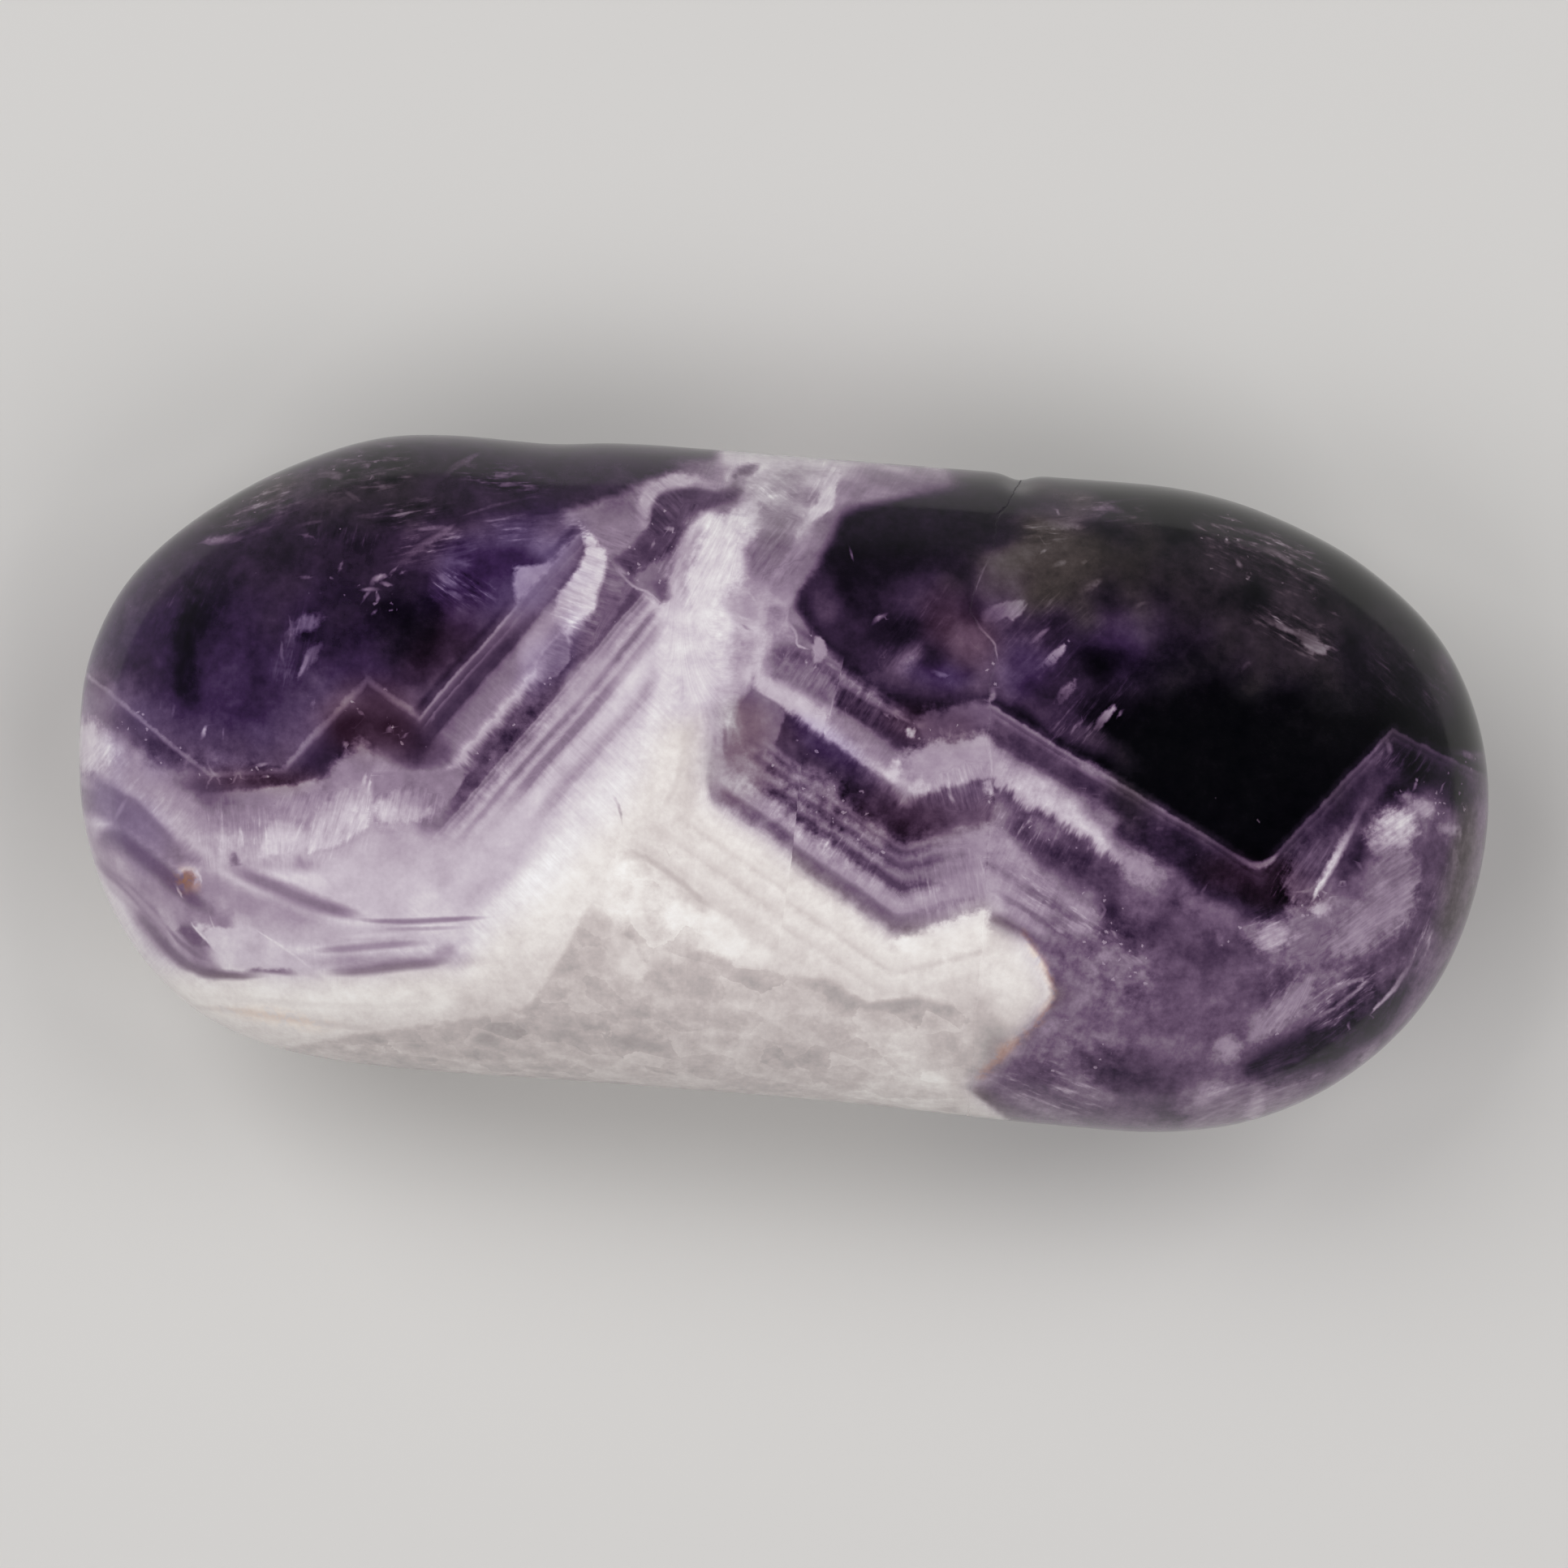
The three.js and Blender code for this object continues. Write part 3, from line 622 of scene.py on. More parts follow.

# Tints over the violet: blue light in the left crystal, plum under its front, smoke at the other end, the
# cream of the old rind, and rust. The smoky tint is partly the quartz's own colour and partly painted
# reflection:
# the grey sheen of light along the back edge, over the upper right and at the right end.
def tinted(patches):
    """How strong a tint is at every spot. Its patches have no tone: x, y, half sizes, turn and cover."""
    field = np.zeros(len(places))
    paint_patches(field, [(*oval, 1.0, cover) for *oval, cover in patches])
    return field


violet = tinted([
    (-35.0, 4.0, 9.0, 6.0, 0, 0.75),
    (-18.4, 12.0, 4.6, 2.8, 30, 1.0),
    (9.4, 7.2, 2.2, 1.0, 0, 1.0),
    (-40.0, -5.4, 3.4, 1.6, -38, 0.6),
    (20.6, 9.6, 3.6, 2.6, 0, 0.6),
    (14.2, 8.0, 2.0, 2.0, 0, 0.7),
    (2.8, 2.4, 2.8, 0.9, -30, 0.7),
    (-15.0, 6.4, 3.0, 1.2, 55, 0.5),
])
plum = tinted([
    (-25.6, 1.4, 3.4, 2.2, 0, 1.0),
    (-31.6, -2.4, 4.4, 1.0, 3, 0.9),
    (-21.8, 6.2, 3.0, 1.6, 52, 0.4),
    (10.6, 9.6, 2.6, 1.8, -50, 1.0),
    (8.0, 4.0, 4.0, 1.6, 0, 0.7),
    (8.4, -1.6, 4.6, 1.6, 0, 0.6),
    (-2.4, 2.8, 2.2, 1.8, -25, 1.0),
    (-3.4, 0.4, 2.6, 1.8, -20, 0.7),
    (30.0, -4.0, 3.4, 1.4, -10, 0.6),
])
# partly smoky quartz, partly painted reflection: a grey sheen along the back edge, in the upper right and at
# the right end
smoke_and_sheen = tinted([
    (16.4, 15.6, 5.4, 4.2, 0, 1.0),
    (28.0, 14.0, 14.0, 6.0, -20, 0.6),
    (27.0, 4.4, 7.0, 5.0, 0, 0.7),
    (-27.0, 16.0, 6.0, 2.4, 10, 0.5),
    (-34.6, 15.0, 4.6, 1.4, 36, 0.6),
    (42.0, -2.6, 1.2, 6.0, -6, 0.8),
    (-1.6, 17.0, 3.0, 3.0, 0, 0.4),
])
cream = np.zeros(len(places))
paint_region(cream, [
    (-90.0, -12.5), (-36.0, -14.8), (-28.0, -14.6), (-19.0, -13.0), (-14.6, -8.4), (-9.6, -2.0), (-7.4, 3.0),
    (-5.4, 3.4), (-4.8, -1.6), (7.6, -9.0), (12.9, -7.0), (17.7, -11.9), (13.0, -18.0), (16.0, -20.2),
    (16.0, -60.0), (-90.0, -60.0),
], 1.0, soft=1.2)
rust = np.zeros(len(places))
paint_streaks(rust, [
    ([(15.4, -8.4), (17.0, -10.5), (17.6, -12.0), (16.8, -13.6), (15.2, -15.3), (13.4, -17.2)],
     0.2, 0.3, 1.0, 0.35),
])
paint_patches(rust, [
    (-36.3, -8.7, 0.9, 0.7, -60, 1.0, 1.0),
    (-30.4, -16.8, 3.2, 0.5, -4, 1.0, 0.4),
    (14.6, -15.6, 1.4, 0.5, 50, 1.0, 0.35),
    (16.4, -9.9, 1.8, 0.35, -48, 1.0, 0.3),
])
keep_on_stone("tints", violet, plum, smoke_and_sheen)

# Where the quartz under a band is so clear that the band shows darker.
shade = np.zeros(len(places))
paint_patches(shade, [
    (-25.2, 0.9, 3.0, 1.3, 0, 0.55, 1.0),
    (-30.6, -1.9, 2.0, 0.8, 12, 0.25, 1.0),
    (-27.2, -0.6, 2.6, 1.5, 32, 0.55, 1.0),
    (-22.6, 0.0, 2.0, 1.2, 0, 0.45, 1.0),
    (-25.0, 5.8, 4.6, 2.0, 0, 0.4, 1.0),
    (33.6, 1.0, 6.0, 2.0, 52, 0.4, 1.0),
    (29.8, -4.0, 3.4, 1.8, -10, 0.6, 1.0),
    (40.0, 4.4, 3.6, 1.6, -10, 0.5, 1.0),
    (25.0, -2.0, 4.6, 1.3, -27, 0.45, 1.0),
])
keep_on_stone("rind_tints", cream, rust, shade)

# Where clouds gather, where the old rind is grainy, and where bright flecks are many.
cloudy = np.full(len(places), 0.12)
for crystal in (LEFT_CRYSTAL, MIDDLE_CRYSTAL, RIGHT_CRYSTAL):
    paint_region(cloudy, crystal, 0.3, soft=1.0)
paint_region(cloudy, RIGHT_MANTLE, 0.45, soft=1.0)
paint_patches(cloudy, [
    (-5.0, 14.4, 6.0, 5.0, 60, 0.8, 0.9),
    (-31.0, 16.4, 9.0, 2.4, 22, 0.7, 0.8),
    (-2.0, 3.0, 3.0, 5.0, 0, 0.6, 0.7),
    (-7.0, 0.0, 3.0, 9.0, 0, 0.4, 0.8),
    (20.0, -2.0, 6.0, 1.0, -27, 0.7, 0.5),
    (20.4, -10.0, 3.4, 2.6, -30, 1.0, 0.9),
    (19.4, -15.4, 3.4, 2.0, -20, 0.9, 0.8),
    (33.0, -8.0, 3.0, 3.6, 40, 0.9, 0.8),
    (30.0, -17.4, 5.0, 1.6, 20, 0.9, 0.8),
    (37.4, -10.6, 4.0, 2.0, 50, 0.9, 0.8),
    (3.0, -1.0, 5.0, 3.6, -30, 1.3, 0.9),
    (10.6, -2.2, 2.6, 3.0, 0, 0.9, 0.8),
    (-17.2, 1.0, 5.4, 1.4, 54, 1.1, 0.9),
    (-33.0, -1.8, 8.0, 1.2, -6, 0.9, 0.8),
    (4.0, 5.4, 5.0, 1.6, -28, 0.9, 0.8),
    (-0.6, 8.6, 2.4, 2.6, 0, 1.0, 0.8),
])
grainy = np.zeros(len(places))
paint_region(grainy, MATRIX, 1.0, soft=0.6)
paint_patches(grainy, [(13.4, -15.4, 2.4, 1.6, 50, 0.8, 0.8)])
FEW_FLECKS = 0.4
flecky = np.full(len(places), FEW_FLECKS)
paint_region(flecky, RIGHT_CRYSTAL, 0.3, soft=1.0)
paint_patches(flecky, [
    (-26.2, 9.8, 1.0, 1.5, 60, 3.4, 1.0),
    (-33.0, 10.6, 1.8, 1.2, 40, 1.2, 1.0),
    (-30.4, 9.4, 1.8, 1.4, 0, 1.2, 1.0),
    (-29.0, 16.8, 2.4, 0.9, 10, 1.6, 1.0),
    (-33.8, 14.2, 2.0, 1.2, 30, 1.4, 1.0),
    (-38.6, -0.4, 3.4, 1.0, -35, 2.2, 0.9),
    (-33.6, -1.8, 3.2, 0.7, 3, 2.6, 1.0),
    (-25.6, 1.2, 3.0, 1.6, 0, 1.3, 0.9),
    (-16.8, 2.4, 5.0, 1.1, 54, 2.2, 1.0),
    (-9.0, 13.8, 1.4, 2.6, -20, 3.0, 1.0),
    (-2.8, 9.8, 1.6, 1.2, -30, 1.8, 1.0),
    (1.2, 8.2, 1.4, 1.2, -20, 2.4, 1.0),
    (2.6, -0.4, 3.2, 1.6, -30, 2.6, 1.0),
    (5.0, -3.2, 3.0, 0.9, -30, 1.8, 1.0),
    (12.4, 6.8, 0.5, 2.6, 0, 3.4, 1.0),
    (8.6, 3.8, 2.0, 0.7, 0, 2.2, 1.0),
    (15.4, -2.6, 3.2, 1.4, -28, 2.0, 1.0),
    (19.0, -6.0, 1.8, 1.0, -28, 2.6, 1.0),
    (21.2, -8.8, 2.8, 1.6, -50, 2.4, 1.0),
    (18.6, -15.0, 2.6, 1.6, 0, 1.6, 1.0),
    (28.4, -7.6, 2.4, 1.2, 0, 1.6, 1.0),
    (28.0, 16.0, 4.0, 2.4, -20, 1.3, 0.8),
    (29.6, -1.0, 1.0, 1.4, 0, 1.8, 1.0),
    (33.9, -4.8, 1.4, 1.0, 40, 3.6, 1.0),
    (31.8, -12.4, 1.6, 0.8, 40, 2.6, 1.0),
    (39.2, 1.8, 2.2, 1.1, -20, 3.6, 1.0),
    (41.8, 3.0, 0.8, 2.6, 0, 2.0, 1.0),
])
keep_on_stone("milk", milk, cloudy, grainy)
keep_on_stone("veil", veil, veil_cover, flecky)

# Feathers are wisps of tiny bubbles: x, y, half length, half width and turn of each patch, its share, and
# the way in which its wisps point.
FEATHERS = [
    # in the left crystal
    (-33.6, 14.8, 4.8, 1.7, 32, 0.9, 22),
    (-28.0, 17.0, 3.8, 1.3, 14, 0.9, 10),
    (-24.6, 14.6, 3.4, 1.0, 10, 0.7, 14),
    (-22.4, 12.8, 2.6, 1.2, 5, 1.1, 16),
    (-21.0, 10.7, 1.8, 1.0, -25, 1.2, -30),
    (-27.6, 13.2, 2.4, 1.2, 0, 0.5, 80),
    (-18.4, 17.2, 2.8, 0.9, 0, 0.9, 4),
    (-17.2, 14.3, 3.2, 0.9, 6, 0.7, 8),
    (-30.8, 5.4, 3.0, 1.0, 84, 0.25, 80),
    (-37.6, 8.0, 3.0, 2.2, 60, 0.25, 70),
    # in the frosty fringe under it
    (-39.6, -3.6, 3.2, 1.1, -36, 0.4, 56),
    (-33.4, -5.4, 3.6, 1.5, -4, 0.6, 96),
    (-28.2, -4.8, 2.8, 2.0, 16, 0.6, 76),
    (-23.4, -3.6, 2.0, 1.0, 0, 0.5, 84),
    # between the left crystal and the middle one
    (-13.0, 10.6, 1.6, 3.4, -20, 0.5, -14),
    (-9.2, 16.8, 1.2, 1.6, 0, 0.8, -40),
    (-5.4, 14.0, 2.6, 1.8, 70, 0.4, 66),
    (-1.6, 17.6, 2.6, 1.8, 10, 0.5, -34),
    (-2.0, 13.6, 1.8, 1.6, 60, 0.4, 60),
    # in the middle crystal's bands
    (3.6, 5.6, 4.6, 1.4, -27, 0.5, 62),
    (7.4, 9.0, 3.0, 1.8, 50, 0.2, 58),
    (11.2, 0.4, 2.4, 1.1, 20, 0.6, 110),
    (3.4, -3.4, 4.6, 1.4, -28, 0.4, 62),
    (9.8, -5.6, 3.0, 1.6, 14, 0.4, 104),
    # beside the crack and in the right crystal
    (15.4, 9.6, 3.8, 3.0, 50, 0.22, 50),
    (18.6, 5.4, 3.2, 1.6, 40, 0.5, 54),
    (15.4, 16.8, 2.8, 0.9, 10, 0.8, 8),
    (19.0, 18.0, 2.8, 0.9, 0, 0.9, 8),
    (29.0, 16.2, 3.8, 1.7, -18, 1.1, -18),
    (30.8, 11.6, 3.0, 1.0, -24, 1.1, -24),
    (37.6, 9.0, 3.0, 2.0, -40, 0.3, -38),
    # outside the right crystal
    (15.8, -1.9, 3.2, 1.2, -28, 0.7, 66),
    (17.0, -6.2, 4.0, 1.4, -28, 0.5, -30),
    (18.0, -17.8, 3.8, 1.2, -16, 0.7, -16),
    (31.0, -16.8, 3.6, 1.6, 22, 0.8, 24),
    (32.4, -11.6, 1.8, 2.0, 0, 0.7, 56),
    (35.4, -10.6, 3.6, 1.6, 42, 1.3, 40),
    (37.4, -5.8, 4.2, 1.6, 50, 0.6, 40),
    (32.8, -3.4, 2.2, 1.2, 55, 0.6, 62),
    (40.4, -5.6, 4.6, 1.0, 72, 0.8, 72),
    (41.6, -1.4, 4.0, 0.8, 88, 0.8, 86),
    (37.6, 4.0, 2.0, 0.9, -10, 0.6, 58),
    (37.8, -0.4, 1.8, 1.4, 40, 0.9, 40),
    (31.0, -7.0, 1.8, 1.2, 10, 0.6, 30),
    # in the healed break once more
    (-1.8, 14.4, 2.6, 1.6, 60, 0.6, 56),
    (0.6, 17.8, 2.0, 1.2, 70, 0.5, 62),
]
feather_share = np.zeros(len(places))
feather_along = np.zeros(len(places))
feather_across = np.zeros(len(places))
for x, y, long, wide, turn, share, wisp_turn in FEATHERS:
    patch = np.zeros(len(places))
    paint_patches(patch, [(x, y, long, wide, turn, share, 1.0)])
    angle = math.radians(wisp_turn)
    along = section[:, 0] * math.cos(angle) + section[:, 1] * math.sin(angle)
    across = section[:, 1] * math.cos(angle) - section[:, 0] * math.sin(angle)
    stronger = patch > feather_share
    feather_along = np.where(stronger, along, feather_along)
    feather_across = np.where(stronger, across, feather_across)
    feather_share = np.where(stronger, patch - feather_share, feather_share - patch)
keep_on_stone("feathered", feather_along, feather_across, feather_share)

# Crisp strokes, for cracks, slivers and lenses: points, half width, tone and strength.
OVERRUN = 1.0  # millimetres that a stroke's values run on past its ends and sides
STROKE_EDGE = 0.5  # millimetres past its sides, where its strength begins to fade
STROKES = [
    # the star-shaped veil and the fan in the left crystal
    ([(-26.3, 9.9), (-26.0, 10.5), (-25.5, 10.8), (-25.1, 10.7)], 0.20, 0.58, 0.95),
    ([(-25.8, 10.4), (-25.1, 10.2), (-24.8, 10.3)], 0.13, 0.54, 0.95),
    ([(-25.4, 9.9), (-26.2, 9.9), (-26.9, 9.8)], 0.14, 0.52, 0.95),
    ([(-26.0, 10.0), (-26.4, 9.5), (-26.6, 9.1)], 0.11, 0.48, 0.9),
    ([(-25.9, 9.9), (-25.6, 9.4), (-25.8, 8.9)], 0.11, 0.50, 0.9),
    ([(-25.3, 10.8), (-24.9, 11.1), (-24.6, 11.5)], 0.10, 0.46, 0.9),
    ([(-25.9, 8.2), (-25.7, 8.7)], 0.13, 0.44, 0.9),
    ([(-24.6, 10.9), (-24.1, 11.1)], 0.12, 0.44, 0.9),
    ([(-25.2, 11.0), (-24.2, 11.9), (-23.4, 12.7), (-22.3, 13.5), (-21.2, 14.4)], 0.24, 0.38, 0.8),
    ([(-20.4, 10.2), (-21.6, 10.8), (-22.4, 11.2)], 0.24, 0.44, 0.8),
    ([(-20.0, 9.6), (-21.6, 10.2)], 0.16, 0.40, 0.7),
    ([(-22.6, 12.2), (-20.0, 11.8)], 0.16, 0.34, 0.7),
    ([(-20.6, 14.0), (-22.4, 14.0), (-24.0, 13.7)], 0.16, 0.42, 0.8),
    ([(-16.6, 16.3), (-19.0, 15.6), (-21.0, 14.8)], 0.10, 0.30, 0.7),
    ([(-22.6, 16.6), (-21.6, 17.7), (-20.0, 18.8)], 0.22, 0.32, 0.8),
    ([(-17.8, 17.4), (-19.4, 17.4)], 0.16, 0.48, 0.8),
    ([(-17.2, 17.1), (-19.0, 16.8)], 0.14, 0.42, 0.8),
    ([(-34.0, 12.6), (-35.6, 12.3), (-37.0, 12.0)], 0.26, 0.46, 0.9),
    ([(-31.6, 13.2), (-30.4, 13.6), (-29.2, 13.9)], 0.12, 0.30, 0.7),
    ([(-31.0, 12.8), (-29.8, 12.9)], 0.16, 0.44, 0.8),
    ([(-30.2, 16.8), (-28.2, 16.7)], 0.26, 0.36, 0.8),
    ([(-27.6, 17.3), (-26.6, 17.5)], 0.2, 0.40, 0.8),
    ([(-27.0, 16.6), (-26.5, 16.7)], 0.08, 0.52, 0.8),
    ([(-26.5, 16.8), (-26.7, 16.5)], 0.08, 0.52, 0.8),
    ([(-28.6, 16.0), (-27.0, 15.1)], 0.14, 0.32, 0.7),
    # lenses and slivers inside the left crystal
    ([(-29.3, 6.4), (-29.8, 5.4), (-30.3, 4.0)], 0.16, 0.50, 0.9),
    ([(-31.1, 4.6), (-31.4, 5.4), (-31.4, 6.4)], 0.10, 0.38, 0.8),
    ([(-30.6, 5.8), (-31.1, 8.0)], 0.08, 0.32, 0.8),
    ([(-29.4, 2.2), (-29.1, 3.0)], 0.14, 0.40, 0.8),
    ([(-28.3, 10.7), (-28.0, 11.5)], 0.12, 0.50, 0.8),
    ([(-30.8, 10.1), (-29.6, 10.4)], 0.12, 0.40, 0.8),
    ([(-35.9, -0.2), (-35.7, 0.9)], 0.13, 0.75, 0.95),
    ([(-37.9, 0.8), (-37.6, 2.2)], 0.09, 0.34, 0.8),
    ([(-41.8, 1.1), (-41.1, 2.0)], 0.12, 0.46, 0.8),
    # broken bits along its front
    ([(-37.2, -2.1), (-36.6, -1.4), (-35.9, -1.1)], 0.20, 0.50, 0.8),
    ([(-35.6, -2.2), (-34.7, -2.2)], 0.13, 0.56, 0.8),
    ([(-34.1, -2.4), (-33.4, -1.9)], 0.12, 0.56, 0.8),
    ([(-32.8, -1.6), (-31.6, -1.2)], 0.13, 0.58, 0.8),
    ([(-32.2, -2.2), (-31.5, -2.0)], 0.11, 0.52, 0.8),
    # slivers in the plum under the left crystal's peak
    ([(-24.7, 0.9), (-24.2, 1.7)], 0.18, 0.44, 0.9),
    ([(-27.3, 0.4), (-26.8, 0.0)], 0.18, 0.56, 0.9),
    ([(-23.8, 0.7), (-23.2, 1.3)], 0.11, 0.40, 0.9),
    ([(-26.6, 2.4), (-26.0, 2.0)], 0.11, 0.40, 0.9),
    ([(-22.0, 1.8), (-21.6, 2.5)], 0.11, 0.42, 0.9),
    ([(-25.9, -2.6), (-25.6, -1.3)], 0.14, 0.80, 0.8),
    ([(-25.5, -2.9), (-25.35, -1.6)], 0.10, 0.84, 0.8),
    # the frosty crest under them, where the puffs end
    ([(-26.9, -4.8), (-26.0, -3.2)], 0.34, 0.80, 0.8),
    ([(-24.9, -4.4), (-24.9, -3.0)], 0.34, 0.78, 0.9),
    ([(-24.1, -4.6), (-23.7, -3.3)], 0.26, 0.80, 0.8),
    ([(-21.9, -4.1), (-21.5, -3.1)], 0.20, 0.76, 0.8),
    ([(-28.5, -6.1), (-28.2, -4.7)], 0.26, 0.78, 0.8),
    ([(-30.5, -6.6), (-29.9, -5.2)], 0.32, 0.80, 0.8),
    ([(-31.5, -7.0), (-31.2, -5.4)], 0.18, 0.78, 0.7),
    ([(-33.6, -6.9), (-33.4, -5.6)], 0.20, 0.74, 0.7),
    ([(-34.3, -7.4), (-34.1, -6.6)], 0.12, 0.80, 0.8),
    # the pale rim of the rust spot, and of the wedge under the left crystal
    ([(-35.9, -8.0), (-35.4, -8.6), (-35.5, -9.0)], 0.10, 0.84, 0.9),
    ([(-37.0, -9.0), (-36.6, -9.6), (-36.2, -9.9)], 0.08, 0.78, 0.8),
    ([(-33.4, -13.6), (-34.6, -12.5), (-35.9, -11.3)], 0.10, 0.84, 0.9),
    ([(-27.3, -14.3), (-29.4, -12.9), (-31.8, -11.5)], 0.08, 0.86, 0.7),
    # flecks in the flecked hollow, and the edges beside it
    ([(-8.6, 14.9), (-7.7, 15.0)], 0.16, 0.70, 0.9),
    ([(-10.0, 12.2), (-9.6, 12.6)], 0.12, 0.60, 0.8),
    ([(-9.2, 13.5), (-9.0, 14.3)], 0.10, 0.60, 0.8),
    ([(-12.0, 13.2), (-11.2, 12.2), (-10.0, 11.2), (-9.0, 10.9), (-8.0, 10.1)], 0.09, 0.70, 0.7),
    ([(-4.0, 10.3), (-3.3, 9.8), (-2.6, 9.7)], 0.10, 0.78, 0.7),
    ([(-2.4, 9.0), (-2.9, 9.2), (-3.4, 9.5)], 0.10, 0.54, 0.7),
    ([(-4.4, 12.2), (-3.2, 11.6), (-2.3, 10.6)], 0.10, 0.74, 0.5),
    # the crack's lit edge
    ([(12.1, 15.2), (11.4, 13.8), (10.9, 12.2)], 0.07, 0.40, 0.7),
    ([(10.8, 11.2), (11.5, 10.2), (12.4, 9.4), (12.7, 8.2)], 0.08, 0.50, 0.8),
    ([(12.4, 6.9), (12.5, 6.2), (12.2, 5.6)], 0.22, 0.66, 0.8),
    ([(12.3, 3.8), (12.6, 2.2), (12.8, 1.0)], 0.08, 0.74, 0.6),
    # a short grey line in the pale middle
    ([(-10.6, -1.4), (-10.0, -2.2), (-9.6, -3.4)], 0.10, 0.64, 0.7),
    # in the middle crystal
    ([(2.9, 14.9), (3.1, 14.3), (3.3, 13.7)], 0.08, 0.42, 0.9),
    ([(4.6, 9.9), (5.1, 10.4), (5.6, 10.7)], 0.16, 0.56, 0.9),
    ([(6.2, 6.4), (6.9, 7.6), (7.5, 8.7)], 0.50, 0.42, 0.9),
    ([(-0.4, 10.7), (-0.5, 9.8), (0.1, 9.1), (0.2, 8.3), (1.1, 8.1)], 0.10, 0.68, 0.9),
    ([(3.3, 6.8), (2.5, 7.2), (1.9, 7.5)], 0.12, 0.56, 0.8),
    ([(2.9, 6.1), (2.6, 4.7), (2.4, 3.4)], 0.07, 0.70, 0.7),
    ([(1.6, 7.3), (1.3, 6.8)], 0.10, 0.60, 0.8),
    ([(0.9, 7.5), (0.7, 7.0)], 0.08, 0.60, 0.8),
    ([(8.4, 7.5), (9.2, 7.2), (9.9, 7.2)], 0.16, 0.48, 0.8),
    ([(10.0, 0.2), (10.4, -0.3), (10.7, -0.8)], 0.14, 0.62, 0.8),
    ([(5.9, 4.7), (6.2, 4.2)], 0.14, 0.50, 0.8),
    ([(6.5, 4.7), (6.7, 4.2)], 0.10, 0.50, 0.8),
    ([(9.3, 4.1), (9.6, 3.4)], 0.14, 0.52, 0.8),
    ([(10.0, 4.0), (10.0, 3.3)], 0.10, 0.50, 0.8),
    # feathers along the crack
    ([(14.2, 9.2), (15.0, 10.0), (15.8, 10.7)], 0.16, 0.42, 0.9),
    ([(17.6, 4.5), (18.2, 5.2)], 0.08, 0.42, 0.8),
    ([(20.6, 6.0), (20.2, 5.3)], 0.12, 0.50, 0.9),
    ([(13.2, 16.2), (15.0, 16.9), (17.6, 16.9)], 0.36, 0.38, 0.9),
    ([(20.4, 17.8), (19.0, 18.2), (17.6, 18.0)], 0.24, 0.38, 0.9),
    ([(15.4, 14.3), (16.6, 14.8)], 0.16, 0.42, 0.9),
    ([(14.6, 15.0), (15.2, 15.4)], 0.10, 0.50, 0.9),
    ([(17.2, 14.6), (17.8, 14.9)], 0.13, 0.38, 0.9),
    ([(17.0, 12.6), (18.0, 13.4), (18.8, 13.9)], 0.24, 0.34, 0.8),
    ([(20.6, 12.1), (21.5, 12.6)], 0.14, 0.32, 0.9),
    ([(15.4, 17.9), (16.0, 17.6)], 0.10, 0.52, 0.9),
    # wisps near the back edge of the right crystal
    ([(26.0, 17.0), (26.4, 16.5)], 0.14, 0.40, 0.9),
    ([(26.7, 15.8), (27.3, 15.1)], 0.16, 0.44, 0.9),
    ([(25.4, 17.7), (27.4, 17.4), (29.2, 17.0)], 0.16, 0.27, 0.9),
    ([(27.3, 16.5), (29.0, 16.3), (30.7, 15.5)], 0.20, 0.36, 0.9),
    ([(31.5, 15.3), (32.4, 15.0)], 0.13, 0.32, 0.9),
    ([(27.4, 14.8), (27.9, 14.5)], 0.11, 0.40, 0.9),
    ([(31.2, 14.4), (32.0, 14.1)], 0.13, 0.30, 0.9),
    ([(28.1, 12.5), (29.4, 11.9), (31.2, 11.2)], 0.20, 0.38, 0.9),
    ([(32.0, 11.9), (32.8, 12.1)], 0.12, 0.36, 0.9),
    ([(32.8, 12.9), (33.5, 12.6)], 0.10, 0.34, 0.9),
    ([(27.6, 8.6), (27.9, 9.2), (28.4, 9.5)], 0.16, 0.25, 0.9),
    ([(41.4, 5.0), (42.4, 4.4)], 0.20, 0.44, 0.8),
    # slivers in the mantle outside the right crystal
    ([(36.1, 1.6), (35.3, -0.1), (34.5, -1.8), (33.8, -3.3), (33.0, -5.1)], 0.29, 0.82, 1.0),
    ([(27.6, -2.3), (29.1, -3.05), (30.0, -3.0), (30.9, -2.2)], 0.22, 0.50, 0.9),
    ([(34.8, -2.2), (34.0, -2.8), (33.0, -4.4), (31.8, -4.6)], 0.12, 0.50, 0.7),
    ([(39.8, -7.4), (39.3, -8.6), (38.5, -10.1), (37.0, -11.9)], 0.16, 0.62, 1.0),
    ([(40.6, -6.0), (40.1, -7.2)], 0.12, 0.48, 0.9),
    ([(37.9, -12.6), (37.6, -13.6), (36.6, -15.0)], 0.26, 0.54, 0.9),
    ([(33.6, -11.4), (34.8, -10.4), (36.9, -9.4)], 0.18, 0.54, 0.9),
    ([(34.4, -12.0), (36.0, -10.6), (37.0, -9.7)], 0.13, 0.54, 0.9),
    ([(33.0, -12.8), (34.6, -11.8), (35.4, -11.4)], 0.15, 0.50, 0.9),
    ([(33.4, -13.2), (35.4, -12.2)], 0.10, 0.36, 0.8),
    ([(36.0, -12.2), (35.8, -12.9)], 0.10, 0.50, 0.8),
    ([(20.8, 1.2), (19.2, 1.9), (17.8, 2.5)], 0.42, 0.50, 0.95),
    ([(36.6, 5.2), (37.0, 4.8), (37.2, 4.2)], 0.20, 0.48, 0.8),
    ([(38.6, 2.1), (39.0, 3.0)], 0.14, 0.52, 0.9),
    ([(40.3, 2.2), (40.7, 2.8)], 0.13, 0.50, 0.9),
    ([(41.5, -3.8), (41.7, -2.2), (41.6, -0.8)], 0.20, 0.40, 0.9),
    ([(27.0, -7.0), (27.6, -7.7), (27.7, -8.5)], 0.22, 0.42, 0.8),
    ([(19.6, -6.3), (20.1, -6.0), (20.4, -6.6), (20.0, -7.2), (19.6, -7.0)], 0.10, 0.52, 0.6),
    ([(34.5, -3.9), (34.8, -3.6)], 0.17, 0.60, 0.95),
